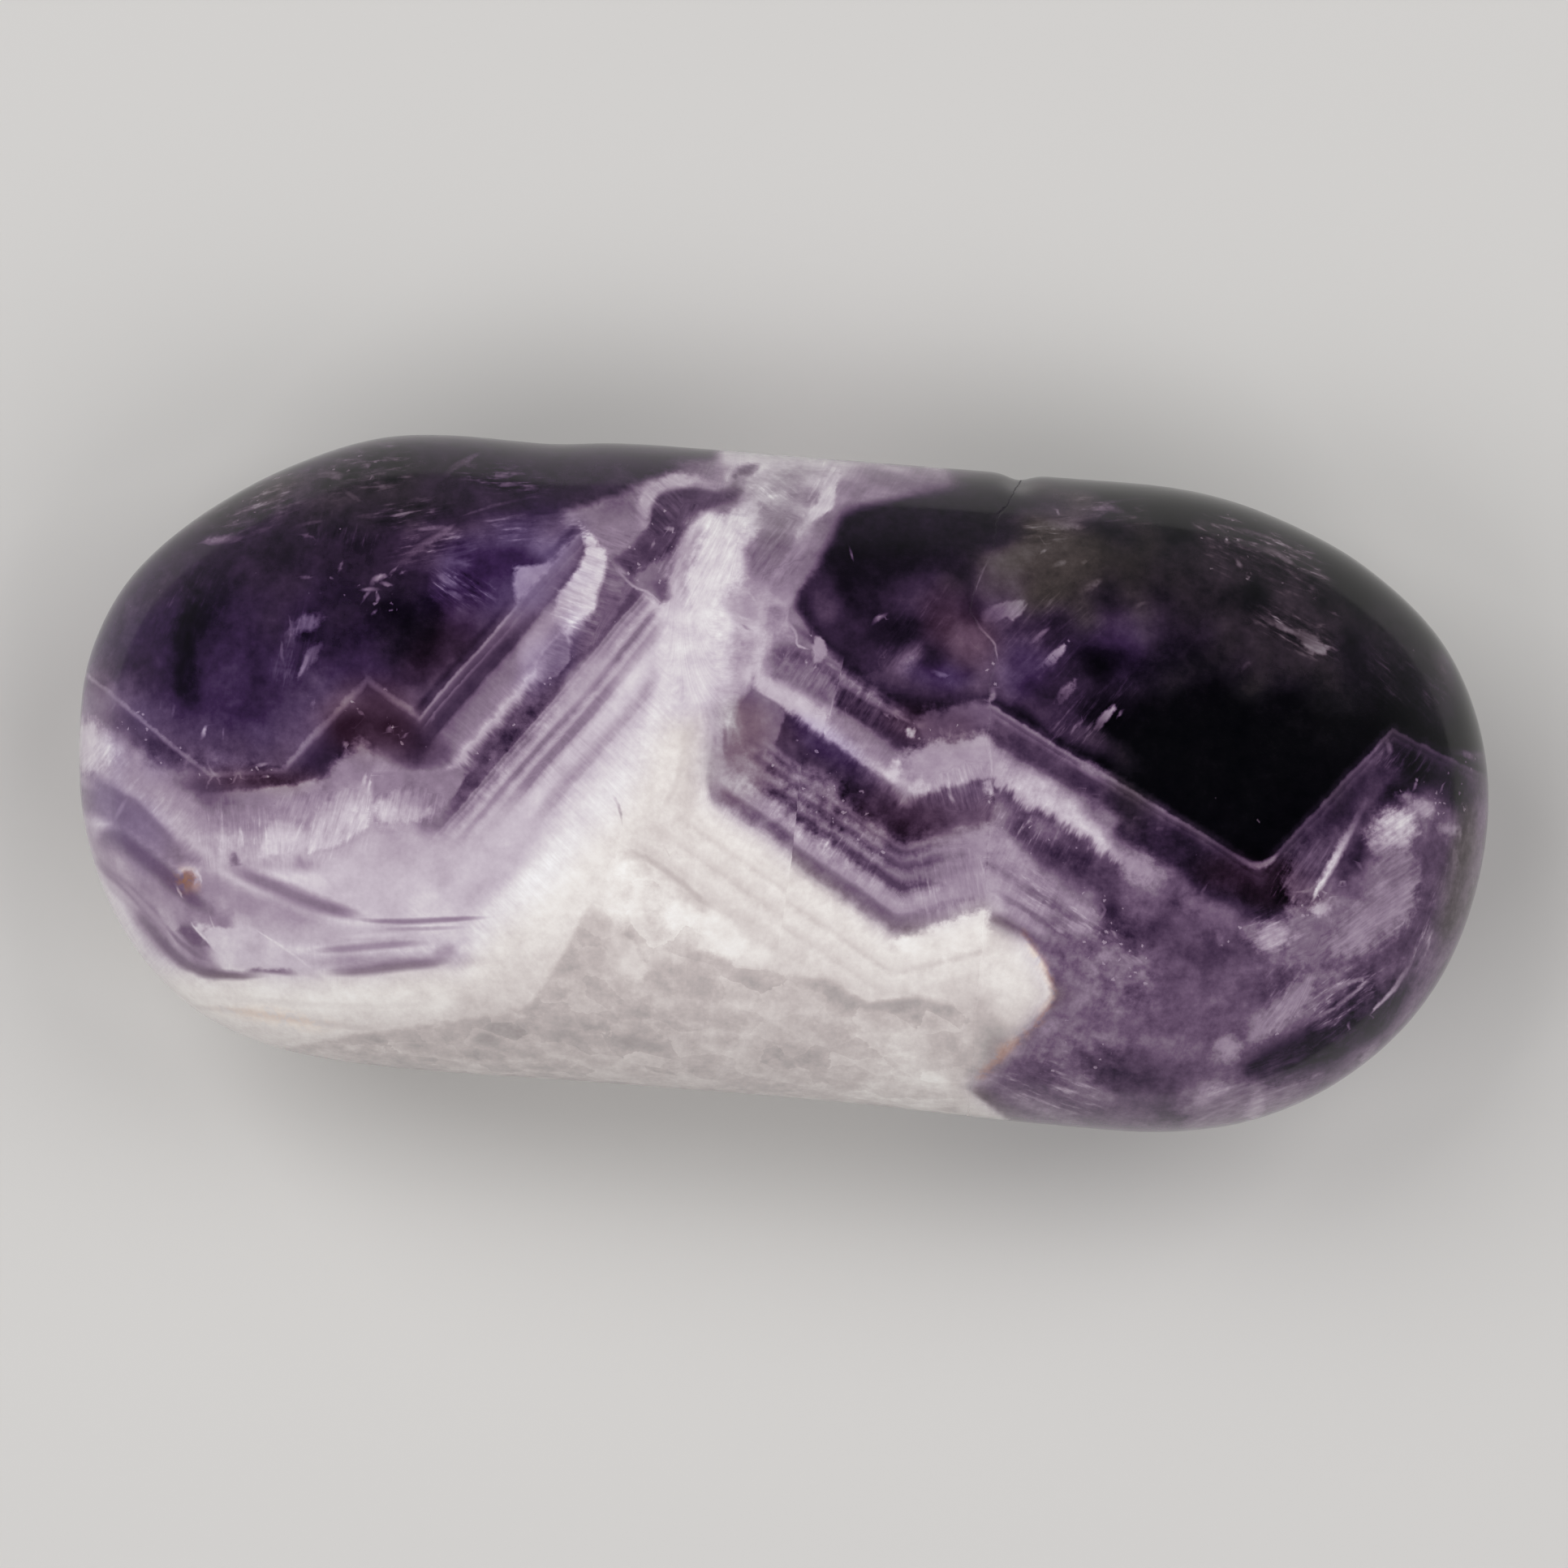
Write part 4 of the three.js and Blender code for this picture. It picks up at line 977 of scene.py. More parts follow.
    ([(33.6, -4.6), (33.8, -4.2)], 0.20, 0.68, 0.95),
    ([(34.0, -5.2), (34.4, -4.8)], 0.20, 0.64, 0.95),
    ([(21.3, -8.4), (21.0, -7.9), (20.9, -7.6)], 0.11, 0.54, 0.8),
    ([(36.0, -2.8), (35.6, -2.5)], 0.16, 0.44, 0.8),
    ([(16.6, -3.4), (17.0, -2.4), (17.2, -1.6)], 0.10, 0.46, 0.8),
    ([(19.0, -3.1), (19.1, -2.6)], 0.09, 0.48, 0.8),
    ([(26.0, -5.4), (26.6, -4.4)], 0.10, 0.36, 0.8),
]

# Seams: soft lines of colour, laid down while the quartz grew. Listed like the strokes.
SEAMS = [
    ([(-34.8, -7.6), (-33.0, -8.1), (-31.0, -8.7), (-29.0, -9.4), (-27.0, -9.95), (-24.6, -10.5)],
     0.5, 0.47, 0.95),
    ([(-9.6, -4.8), (-8.0, -5.4), (-6.0, -6.6), (-4.4, -7.8), (-3.0, -8.6)], 0.2, 0.72, 0.6),
    ([(-42.4, -6.0), (-40.4, -6.5), (-38.8, -7.6), (-37.2, -8.8), (-35.8, -9.9), (-33.8, -11.0)],
     0.5, 0.36, 0.85),
    ([(-42.6, -7.4), (-40.6, -9.0), (-38.6, -10.6), (-36.8, -12.2)], 0.32, 0.50, 0.7),
    ([(-42.0, -8.4), (-40.4, -9.8), (-38.6, -11.4)], 0.2, 0.72, 0.7),
    ([(-26.2, -10.45), (-24.6, -10.55), (-22.6, -10.45), (-20.4, -10.15), (-17.0, -9.7)], 0.17, 0.50, 0.85),
    ([(-24.6, -11.1), (-21.6, -10.8), (-18.2, -10.4)], 0.12, 0.60, 0.6),
    ([(-39.8, -10.4), (-38.4, -11.8), (-37.2, -12.9), (-36.0, -13.9), (-34.6, -14.45), (-32.4, -14.5),
      (-30.4, -14.3)], 0.3, 0.40, 0.85),
    ([(-40.8, -8.7), (-39.2, -10.2), (-37.6, -11.6), (-36.4, -12.6)], 0.16, 0.64, 0.7),
    ([(-37.6, -11.4), (-36.4, -12.6), (-35.2, -13.4), (-34.0, -13.8)], 0.14, 0.44, 0.7),
    ([(-32.6, -14.3), (-31.2, -13.95), (-30.0, -13.95), (-28.6, -14.2)], 0.24, 0.42, 0.85),
    ([(-28.0, -13.95), (-25.0, -13.6), (-22.4, -13.1), (-20.6, -12.8), (-19.0, -12.3)], 0.32, 0.47, 0.85),
    ([(-28.8, -12.7), (-25.8, -12.3), (-23.0, -11.9), (-20.6, -11.6)], 0.24, 0.54, 0.8),
    ([(-20.9, -12.5), (-19.9, -12.0), (-18.9, -11.8)], 0.4, 0.56, 0.6),
    ([(-27.0, -11.7), (-24.0, -11.4), (-20.8, -11.1)], 0.16, 0.82, 0.6),
    ([(-42.6, -3.2), (-39.8, -4.4), (-37.6, -6.2), (-36.6, -7.2)], 0.3, 0.42, 0.6),
    ([(-40.2, -4.0), (-41.0, -5.8)], 0.14, 0.60, 0.6),
    ([(-37.6, -16.6), (-33.0, -16.6), (-28.0, -16.9), (-22.0, -17.4)], 0.2, 0.78, 0.5),
    ([(-36.0, -15.9), (-30.0, -15.9), (-24.0, -15.8), (-19.0, -15.2)], 0.2, 0.84, 0.4),
    # in the cream beside the middle crystal's bands
    ([(-8.2, -5.2), (-5.2, -6.6), (-2.6, -8.4), (0.6, -10.0)], 0.3, 0.83, 0.4),
    ([(-8.0, -3.6), (-6.6, -1.0), (-6.0, 2.4), (-5.2, 5.6)], 0.2, 0.80, 0.5),
    ([(-5.4, 5.8), (-4.6, 3.4), (-4.8, 0.6), (-5.4, -2.0)], 0.16, 0.76, 0.4),
    ([(4.6, -12.6), (6.2, -13.6), (8.0, -13.2), (10.6, -12.9)], 0.25, 0.66, 0.6),
    ([(-9.6, -16.4), (-8.0, -16.8), (-5.4, -17.0)], 0.35, 0.66, 0.7),
    ([(-13.6, -16.6), (-12.0, -16.5), (-10.4, -16.9)], 0.3, 0.66, 0.6),
    ([(-18.0, -17.4), (-17.0, -17.2), (-16.0, -17.4)], 0.3, 0.62, 0.7),
    # lilac sheets in the haze outside the right crystal
    ([(34.6, -7.2), (36.6, -5.7), (39.2, -3.9)], 0.42, 0.62, 0.8),
    ([(35.0, -8.2), (36.8, -6.9), (38.8, -5.6)], 0.16, 0.42, 0.6),
]

# Facets, for veils, healed breaks and feathered masses: corners, tone, how soft and ragged the outline is in
# millimetres, and for those that fade out on one side, where they are strongest and where they are gone.
FACETS = [
    # veils under the left crystal, and the bright masses at its fringe
    ([(-36.4, -3.6), (-34.4, -3.3), (-33.0, -3.05), (-30.4, -2.5), (-28.2, -2.05), (-28.6, -4.6),
      (-31.5, -5.0), (-35.0, -5.0), (-37.4, -4.8)], 0.58, 0.3, (-31.4, -2.8), (-33.4, -6.0)),
    ([(-28.2, -2.0), (-27.4, -0.9), (-26.1, 0.4), (-25.2, 0.0), (-25.3, -1.4), (-25.3, -3.0), (-25.0, -4.4),
      (-26.0, -5.3), (-27.4, -6.1), (-28.9, -6.7), (-28.6, -4.4)], 0.54, 0.7),
    ([(-28.7, -4.0), (-27.6, -3.0), (-26.4, -2.0), (-25.3, -2.0), (-25.3, -3.4), (-25.0, -4.4), (-26.0, -5.3),
      (-27.4, -6.1), (-28.9, -6.7)], 0.80, 0.4, (-26.4, -5.2), (-28.0, -1.6)),
    ([(-25.3, -1.4), (-22.6, -1.1), (-20.0, -0.8), (-19.4, -1.0), (-20.2, -2.4), (-21.6, -3.9), (-22.8, -4.3),
      (-24.4, -4.6), (-25.0, -4.4)], 0.52, 0.25),
    ([(-24.9, -3.2), (-23.6, -2.4), (-22.2, -2.5), (-21.2, -3.4), (-22.0, -4.1), (-23.0, -4.3), (-24.3, -4.7),
      (-24.9, -4.4)], 0.78, 0.5, (-23.6, -4.2), (-22.6, -1.9)),
    ([(-31.3, -4.7), (-30.4, -4.8), (-28.8, -4.9), (-28.6, -6.2), (-29.9, -6.6), (-30.9, -6.8), (-31.9, -7.3),
      (-31.6, -6.0)], 0.78, 0.3, (-30.4, -6.6), (-30.0, -3.8)),
    ([(-34.5, -5.4), (-33.9, -5.3), (-33.8, -7.2), (-34.3, -7.7)], 0.74, 0.25, (-34.2, -7.2), (-34.2, -4.6)),
    ([(-33.4, -5.6), (-32.9, -5.6), (-32.8, -7.4), (-33.2, -6.9)], 0.75, 0.25, (-33.0, -7.0), (-33.0, -4.6)),
    ([(-36.0, -5.8), (-35.1, -5.8), (-35.4, -7.1), (-35.9, -7.0)], 0.70, 0.3, (-35.6, -7.0), (-35.4, -4.6)),
    ([(-33.8, -7.0), (-33.3, -6.9), (-32.9, -7.6), (-33.6, -7.8)], 0.44, 0.3),
    ([(-43.8, 0.5), (-42.6, 0.4), (-41.9, -0.2), (-41.4, -1.3), (-41.8, -2.2), (-42.8, -2.6), (-44.0, -2.6)],
     0.80, 0.9),
    ([(-35.9, -11.3), (-34.0, -11.6), (-32.0, -11.4), (-30.6, -12.2), (-28.5, -13.3), (-27.2, -14.4),
      (-29.4, -13.9), (-31.6, -14.0), (-32.8, -14.1), (-33.6, -13.3), (-34.6, -12.4)],
     0.78, 0.3),
    ([(-36.3, -11.4), (-35.2, -12.0), (-34.3, -12.9), (-35.6, -12.7), (-36.6, -12.0)], 0.38, 0.3),
    ([(-36.9, -8.9), (-36.5, -8.3), (-36.3, -7.9), (-35.6, -8.7), (-35.8, -9.0), (-36.2, -9.7),
      (-36.7, -9.4)], 0.44, 0.25),
    # lenses inside the left crystal, and the pale corner at its edge
    ([(-31.1, 6.9), (-30.3, 7.7), (-29.3, 8.1), (-28.9, 7.9), (-29.5, 7.2), (-30.4, 6.8)], 0.35, 0.5),
    ([(-30.3, 4.0), (-30.0, 5.2), (-29.6, 6.1), (-29.0, 6.4), (-29.2, 5.4), (-29.8, 4.8)], 0.30, 0.3),
    ([(-17.6, 11.9), (-16.6, 11.9), (-15.4, 12.3), (-14.6, 13.4), (-14.0, 14.0), (-14.6, 13.0), (-16.0, 11.0),
      (-17.2, 9.5)], 0.58, 0.3),
    # the healed break at the back: the dark hollow, the pale arc over it and the white heart beside it
    ([(-14.6, 15.5), (-13.4, 15.9), (-11.6, 16.3), (-10.4, 17.2), (-9.9, 16.4), (-9.6, 15.2), (-9.9, 14.4),
      (-11.0, 13.2), (-12.0, 13.0), (-13.5, 14.8)], 0.52, 0.8, (-11.0, 13.6), (-12.6, 17.6)),
    ([(-9.5, 15.0), (-9.4, 16.2), (-9.0, 17.2), (-8.2, 17.7), (-7.2, 18.0), (-6.4, 18.1), (-7.2, 18.4),
      (-8.4, 18.3), (-9.5, 17.5), (-10.0, 16.6), (-9.9, 15.8), (-9.7, 15.1)], 0.70, 0.5),
    ([(-9.3, 15.0), (-9.2, 16.4), (-8.4, 17.3), (-6.8, 17.7), (-5.4, 17.2), (-4.3, 17.9), (-3.9, 17.6),
      (-4.3, 16.9), (-5.4, 16.5), (-6.2, 16.1), (-6.9, 15.0), (-7.4, 13.8), (-8.4, 13.0), (-10.0, 12.0),
      (-11.6, 12.9), (-10.4, 13.6), (-9.8, 14.4)], 0.30, 0.6),
    ([(-10.2, 11.9), (-9.0, 12.8), (-7.5, 13.8), (-7.6, 12.2), (-7.8, 10.8), (-8.2, 10.1), (-9.0, 10.9),
      (-10.0, 11.2)], 0.47, 0.5),
    ([(-8.9, 11.6), (-8.0, 11.8), (-7.7, 10.6), (-8.2, 10.2)], 0.38, 0.3),
    ([(-7.9, 9.6), (-7.7, 12.0), (-7.4, 13.8), (-6.6, 15.4), (-5.6, 15.2), (-5.4, 12.0), (-6.0, 9.6)],
     0.68, 0.9, (-7.0, 12.6), (-7.0, 7.6)),
    ([(-5.9, 15.7), (-5.0, 16.0), (-3.2, 16.0), (-3.6, 15.0), (-3.8, 14.0), (-3.2, 12.3), (-4.4, 11.6),
      (-4.8, 10.6), (-5.6, 9.6), (-6.8, 9.8), (-6.8, 12.0), (-6.4, 13.6), (-6.1, 15.0)],
     0.87, 0.8, (-5.2, 14.0), (-5.2, 6.6)),
    ([(-3.5, 14.0), (-2.6, 15.0), (-1.2, 15.4), (-0.3, 15.2), (-0.2, 14.2), (-1.0, 13.0), (-1.9, 11.9),
      (-3.1, 12.3)], 0.45, 0.8),
    ([(0.0, 15.5), (0.9, 15.8), (1.1, 14.4), (1.2, 13.3), (0.3, 12.1), (-0.6, 10.9), (-1.6, 11.2),
      (-1.9, 11.8), (-1.0, 13.0), (-0.2, 14.2)], 0.52, 0.5, (-0.8, 13.0), (2.2, 14.6)),
    ([(2.0, 19.9), (1.2, 18.8), (1.1, 18.1), (0.9, 17.2), (0.3, 16.5), (0.2, 15.9), (1.0, 16.2), (1.9, 17.0),
      (1.9, 18.0), (2.1, 18.9)], 0.79, 0.2),
    ([(-2.8, 16.9), (-1.0, 16.8), (0.1, 16.4), (0.1, 15.5), (-1.4, 15.3), (-2.8, 15.6)], 0.54, 0.8),
    ([(-4.2, 19.1), (-3.6, 19.3), (-3.0, 19.3), (-3.5, 18.7), (-4.1, 18.6), (-4.5, 18.0), (-4.4, 18.6)],
     0.36, 0.5),
    ([(-13.7, 14.9), (-12.8, 14.1), (-11.9, 13.1), (-11.8, 12.6), (-12.0, 11.4), (-12.3, 10.4), (-12.2, 9.6),
      (-13.2, 8.9), (-14.2, 8.2), (-15.0, 8.6), (-14.6, 10.4), (-13.6, 12.0), (-13.2, 13.4)],
     0.84, 0.3, (-12.6, 11.6), (-17.0, 7.6)),
    ([(-11.7, 12.9), (-10.4, 11.6), (-10.0, 11.2), (-10.6, 10.0), (-12.0, 7.6), (-13.4, 6.6), (-13.3, 7.9),
      (-12.1, 9.2), (-12.2, 10.4), (-11.9, 11.6)], 0.40, 0.3),
    ([(-14.1, 8.2), (-13.8, 7.6), (-13.6, 6.4), (-14.4, 5.4), (-15.6, 5.0), (-15.8, 6.0), (-15.0, 7.2)],
     0.50, 0.18, (-14.2, 7.2), (-16.4, 3.4)),
    ([(-4.4, 10.9), (-3.2, 11.1), (-2.3, 10.5), (-2.2, 9.8), (-3.2, 9.4), (-4.1, 10.2)],
     0.62, 0.9, (-3.0, 10.0), (-4.6, 11.8)),
    ([(-0.4, 10.7), (-0.5, 9.7), (0.1, 9.1), (0.2, 8.3), (1.1, 8.1), (1.2, 9.0), (0.9, 9.2), (0.3, 10.1)],
     0.46, 0.14, (-0.2, 9.4), (1.8, 9.6)),
    ([(1.2, 8.9), (1.9, 9.0), (2.1, 8.2), (1.9, 7.4), (1.3, 7.3), (1.2, 8.0)], 0.60, 0.2),
    # in the middle crystal's bands
    ([(-2.4, 7.2), (-2.0, 6.4), (-0.8, 6.1), (0.4, 5.6), (1.6, 5.0), (2.6, 4.8), (2.5, 4.0), (2.3, 3.1),
      (1.0, 3.7), (-0.2, 4.3), (-1.8, 5.1), (-2.2, 5.7)], 0.74, 0.5, (-0.8, 4.4), (0.6, 7.2)),
    ([(-1.2, 8.4), (0.2, 8.4), (1.2, 7.4), (2.6, 6.6), (2.9, 6.2), (2.6, 4.8), (1.4, 5.2), (-0.4, 6.0),
      (-1.4, 6.8)], 0.40, 0.6, (1.8, 6.4), (-2.6, 6.6)),
    ([(-0.3, 3.9), (0.8, 3.4), (1.6, 3.0), (2.6, 2.6), (3.8, 2.0), (5.2, 1.2), (6.6, 0.5), (8.0, -0.2),
      (8.9, -0.3), (8.6, -2.4), (7.6, -2.9), (6.0, -2.2), (4.4, -1.1), (3.8, 0.2), (2.6, 0.8), (1.4, 1.2),
      (0.3, 1.2), (-0.6, 2.2)], 0.22, 0.5, (2.6, 2.4), (7.0, -5.0)),
    ([(-3.0, 4.4), (-2.3, 5.4), (-0.7, 4.6), (-0.2, 4.1), (-0.6, 2.3), (-1.6, 1.8), (-2.6, 2.2), (-3.1, 3.2)],
     0.43, 0.2, (-1.2, 4.0), (-3.6, 0.6)),
    ([(2.95, 6.15), (4.2, 5.4), (5.8, 4.7), (8.0, 4.0), (8.4, 3.2), (7.6, 2.6), (6.0, 3.2), (4.6, 3.9),
      (2.7, 4.8)], 0.21, 0.25, (4.4, 5.2), (4.0, 2.4)),
    ([(8.3, 4.9), (12.2, 5.6), (12.6, 4.7), (12.2, 4.1), (10.0, 3.6), (8.4, 3.2)], 0.34, 0.9),
    ([(8.4, 2.9), (10.0, 3.3), (12.2, 3.8), (12.9, 2.4), (13.0, 1.4), (11.0, 0.8), (9.2, 0.2), (8.0, 0.6),
      (7.0, 2.0)], 0.63, 0.8),
    ([(8.8, -0.5), (10.2, 0.1), (12.0, 0.9), (12.9, 1.1), (13.0, -2.0), (11.0, -2.6), (9.0, -2.9)],
     0.38, 0.3, (12.6, -1.2), (7.6, -1.6)),
    ([(13.0, -1.8), (13.0, -6.2), (11.4, -6.4), (9.2, -5.0), (8.8, -3.6), (11.0, -2.6)],
     0.62, 0.9, (12.8, -3.4), (8.6, -4.0)),
    ([(8.0, -5.8), (9.5, -5.5), (11.0, -5.0), (12.6, -4.4), (12.4, -4.0), (10.8, -4.5), (9.4, -5.0),
      (8.0, -5.3)], 0.46, 0.5, (8.4, -5.4), (13.4, -4.2)),
    # angular grains at the top of the old rind
    ([(-9.4, -10.0), (-8.6, -10.3), (-7.4, -12.2), (-7.8, -13.0), (-9.6, -12.6), (-10.2, -11.4)],
     0.85, 0.3, (-8.4, -11.4), (-11.4, -12.4)),
    ([(-3.9, -8.9), (-2.6, -9.0), (-1.6, -10.4), (-2.2, -11.2), (-3.6, -10.8)], 0.94, 0.4),
    # sheets under the middle crystal's bands, and bright bits in them
    ([(13.0, -6.2), (13.0, -7.4), (11.0, -7.9), (8.4, -8.7), (7.2, -8.0), (9.0, -7.4), (11.0, -6.7)],
     0.66, 0.5, (12.0, -7.2), (6.6, -8.2)),
    ([(13.2, -7.0), (11.0, -7.7), (9.4, -8.6), (7.4, -9.4), (9.0, -10.6), (13.2, -9.4)], 0.92, 0.5),
    ([(7.2, 3.6), (7.6, 4.1), (7.9, 3.9), (7.9, 3.2), (7.5, 3.15)], 0.76, 0.2),
    ([(6.2, 0.8), (6.9, 1.9), (7.2, 1.5), (7.2, 0.6), (6.8, 0.4)], 0.80, 0.4),
    ([(8.0, -0.1), (8.2, 0.7), (8.6, 0.8), (9.0, 0.1), (8.6, -0.3)], 0.76, 0.5),
    ([(12.1, 1.2), (12.8, 1.0), (12.9, -0.4), (12.4, 0.3)], 0.66, 0.3),
    # beside the crack
    ([(11.1, 10.8), (11.8, 11.6), (13.0, 12.0), (14.2, 12.1), (14.0, 11.4), (13.4, 10.9), (13.0, 11.1),
      (12.2, 10.6)], 0.50, 0.2, (13.8, 12.0), (11.2, 9.8)),
    ([(15.3, 8.0), (15.9, 9.1), (17.0, 9.9), (16.7, 9.2), (16.2, 8.4)], 0.62, 0.2, (16.6, 9.5), (15.2, 7.6)),
    ([(16.0, 5.8), (16.6, 6.8), (17.7, 7.8), (17.5, 7.0), (16.8, 6.0)], 0.38, 0.25, (17.3, 7.4), (15.8, 5.2)),
    ([(18.6, 4.4), (19.2, 5.5), (20.0, 6.3), (20.1, 5.9), (19.7, 5.2), (19.2, 4.6)],
     0.66, 0.2, (19.9, 6.0), (18.4, 4.0)),
    # in the right crystal
    ([(30.2, 11.8), (31.4, 11.5), (32.2, 11.3), (33.1, 10.2), (32.0, 10.1), (31.2, 10.8)],
     0.48, 0.25, (32.6, 10.3), (29.8, 12.0)),
    # outside the right crystal
    ([(31.4, -2.4), (33.0, -0.8), (34.2, 0.6), (35.0, 0.2), (34.0, -2.4), (33.2, -4.8), (32.4, -5.2),
      (31.4, -4.2)], 0.35, 0.9, (33.2, -4.0), (33.6, 0.6)),
    ([(36.3, -0.6), (36.8, 0.5), (37.9, 1.1), (38.9, 0.9), (39.1, -0.2), (38.6, -1.4), (37.6, -1.9),
      (36.7, -1.5)], 0.66, 0.9),
    ([(36.8, -0.4), (37.3, 0.4), (37.9, 0.8), (38.5, 0.7), (38.7, -0.2), (38.3, -1.0), (37.6, -1.3),
      (37.1, -1.0)], 0.82, 0.9),
    ([(38.8, 1.5), (39.6, 1.7), (40.2, 1.2), (40.1, 0.6), (39.4, 0.7)], 0.66, 0.4),
    ([(37.6, 1.9), (38.4, 2.2), (38.9, 1.9), (38.2, 1.4)], 0.52, 0.4),
    ([(40.1, 0.5), (41.7, 0.3), (41.9, -0.2), (40.7, -0.3)], 0.56, 0.4),
    ([(36.9, -1.6), (39.2, -1.4), (39.4, -3.4), (39.2, -5.4), (37.6, -7.4), (36.0, -8.4), (34.6, -7.6),
      (34.4, -6.2), (36.0, -5.0), (37.0, -3.6)], 0.50, 0.9),
    ([(36.9, -4.6), (38.9, -3.2), (39.4, -4.0), (39.1, -5.4), (37.0, -7.0), (35.0, -8.2), (34.2, -7.2),
      (35.6, -5.8)], 0.56, 0.9, (38.6, -5.6), (36.0, -2.6)),
    ([(31.8, -5.4), (33.4, -5.6), (34.8, -6.0), (34.6, -8.4), (32.8, -9.0), (31.8, -7.6)],
     0.45, 0.9),
    ([(33.0, -5.4), (33.6, -5.1), (34.3, -4.9), (34.5, -5.4), (33.8, -5.9), (33.2, -5.9)], 0.68, 0.4),
    ([(29.2, -7.8), (29.8, -7.1), (30.6, -6.2), (31.4, -6.6), (32.0, -7.2), (31.6, -7.8), (30.4, -8.1)],
     0.64, 0.9, (31.2, -7.8), (29.8, -5.4)),
    ([(33.4, -9.8), (33.5, -10.8), (33.0, -11.6), (32.2, -12.4), (31.4, -13.0), (30.2, -14.2), (29.6, -13.6),
      (30.0, -12.4), (31.2, -11.2), (32.2, -10.2), (32.8, -9.4)], 0.60, 0.6, (32.8, -12.0), (30.6, -9.8)),
    ([(27.9, -14.2), (28.8, -13.9), (29.2, -14.3), (29.1, -15.0), (27.8, -14.9)], 0.60, 0.9),
    ([(29.4, -15.5), (31.0, -14.5), (33.5, -13.7), (36.0, -12.7), (38.0, -11.0), (39.2, -9.4), (39.6, -9.8),
      (38.4, -12.2), (37.0, -13.4), (35.4, -14.8), (32.4, -15.7), (29.8, -16.0)], 0.15, 0.7),
    ([(26.0, -20.0), (26.6, -18.6), (28.0, -17.4), (29.6, -16.6), (31.6, -16.6), (33.6, -16.0), (35.4, -15.3),
      (36.8, -14.4), (38.6, -13.4), (40.0, -17.0), (34.0, -22.0)], 0.47, 0.5, (30.0, -18.0), (34.0, -11.0)),
    ([(29.9, -18.6), (30.2, -17.4), (30.8, -17.0), (31.0, -17.8), (30.6, -19.0)], 0.60, 0.5),
    ([(21.2, -3.3), (22.2, -2.9), (23.2, -3.3), (23.8, -4.2), (23.2, -4.8), (22.0, -4.7), (21.3, -4.1)],
     0.60, 0.9),
    ([(25.4, -5.2), (26.6, -5.9), (28.0, -6.4), (27.6, -7.2), (26.2, -6.7), (25.0, -6.0)], 0.40, 0.9),
    ([(21.5, -9.2), (22.4, -9.2), (22.9, -9.6), (22.2, -9.9), (21.6, -9.7)], 0.47, 0.2),
    ([(22.7, -10.0), (23.2, -10.2), (23.1, -10.7), (22.8, -10.5)], 0.52, 0.2),
    ([(17.2, -7.6), (17.9, -7.7), (17.9, -8.2), (17.4, -8.1)], 0.58, 0.25),
]
FACET_MARGIN = 0.4  # millimetres past a facet's soft edge, over which its strength fades
FACET_STRENGTH = 0.92
FAR_OUTSIDE = 3.0  # in parts of a facet's softness
FAR_ACROSS = 6.0  # in a stroke's half widths
THINNEST = 0.04  # of a stroke's ends, as the square of a share of its width
LONGEST_FALL = 0.4  # of its length, for a stroke's far end to die away over
NO_TONE = 0.5  # where a set has no mark, and so no strength either


def stroke_fields(points, half_width, strength, rise, fall):
    """How far across a stroke each spot is, in half widths, its strength there, where it is known and where
    its middle is. The stroke gathers strength over its first part, and ends more sharply."""
    gap, along, length = line_gap(points, section, OVERRUN)
    share = np.clip(along / length, 0.0, 1.0)
    width = half_width * np.sqrt(np.maximum(4.0 * share * (1.0 - share), THINNEST))
    fall = min(fall, LONGEST_FALL * length)
    ends = smooth_step(0.0, rise * length, along) * smooth_step(0.0, fall, length - along)
    sides = 1.0 - smooth_step(STROKE_EDGE, OVERRUN, np.abs(gap) - half_width)
    known = np.abs(gap) < 2.0 * OVERRUN + half_width
    across = np.clip(gap / width, -FAR_ACROSS, FAR_ACROSS)
    return across, strength * ends * sides, known, known & (np.abs(gap) < half_width)


def facet_fields(corners, soft, strongest=None, gone=None):
    """How far inside a facet each spot is, as a share of its softness, its strength there, where it is known
    and where its middle is."""
    inside = inside_of(corners, section)
    cover = FACET_STRENGTH * smooth_step(-2.0 * FACET_MARGIN - soft, -FACET_MARGIN - soft, inside)
    if strongest is not None:
        way = np.array(gone) - np.array(strongest)
        share = (section - np.array(strongest)) @ way / (way @ way)
        cover = cover * (1.0 - smooth_step(0.0, 1.0, share))
    return np.clip(inside / soft, -FAR_OUTSIDE, FAR_OUTSIDE), cover, cover > 0, inside > 0.5 * soft


def packed(name, marks):
    """Keeps marks on the stone in sets, each over any set with a mark whose middle it overlaps, and counts
    the sets. No two marks of a set share a spot."""
    sets, middles = [], []
    for shape, cover, known, middle, tone in marks:
        under = [number for number, held in enumerate(middles) if np.any(held & middle)]
        free = [number for number, held in enumerate(sets) if not np.any((held[1] > 0) & (cover > 0))]
        fitting = [number for number in free if number > max(under, default=-1)]
        if not fitting:
            empty = np.zeros(len(places))
            sets.append(np.stack([empty - FAR_OUTSIDE, empty, empty + NO_TONE]))
            middles.append(np.zeros(len(places), bool))
            fitting = [len(sets) - 1]
        held = sets[fitting[0]]
        spread = known & (held[1] == 0)
        held[:, spread] = np.stack([shape, cover, np.full(len(places), tone)])[:, spread]
        middles[fitting[0]] |= middle
    for number, held in enumerate(sets):
        keep_on_stone(f"{name}_{number}", *held)
    return len(sets)


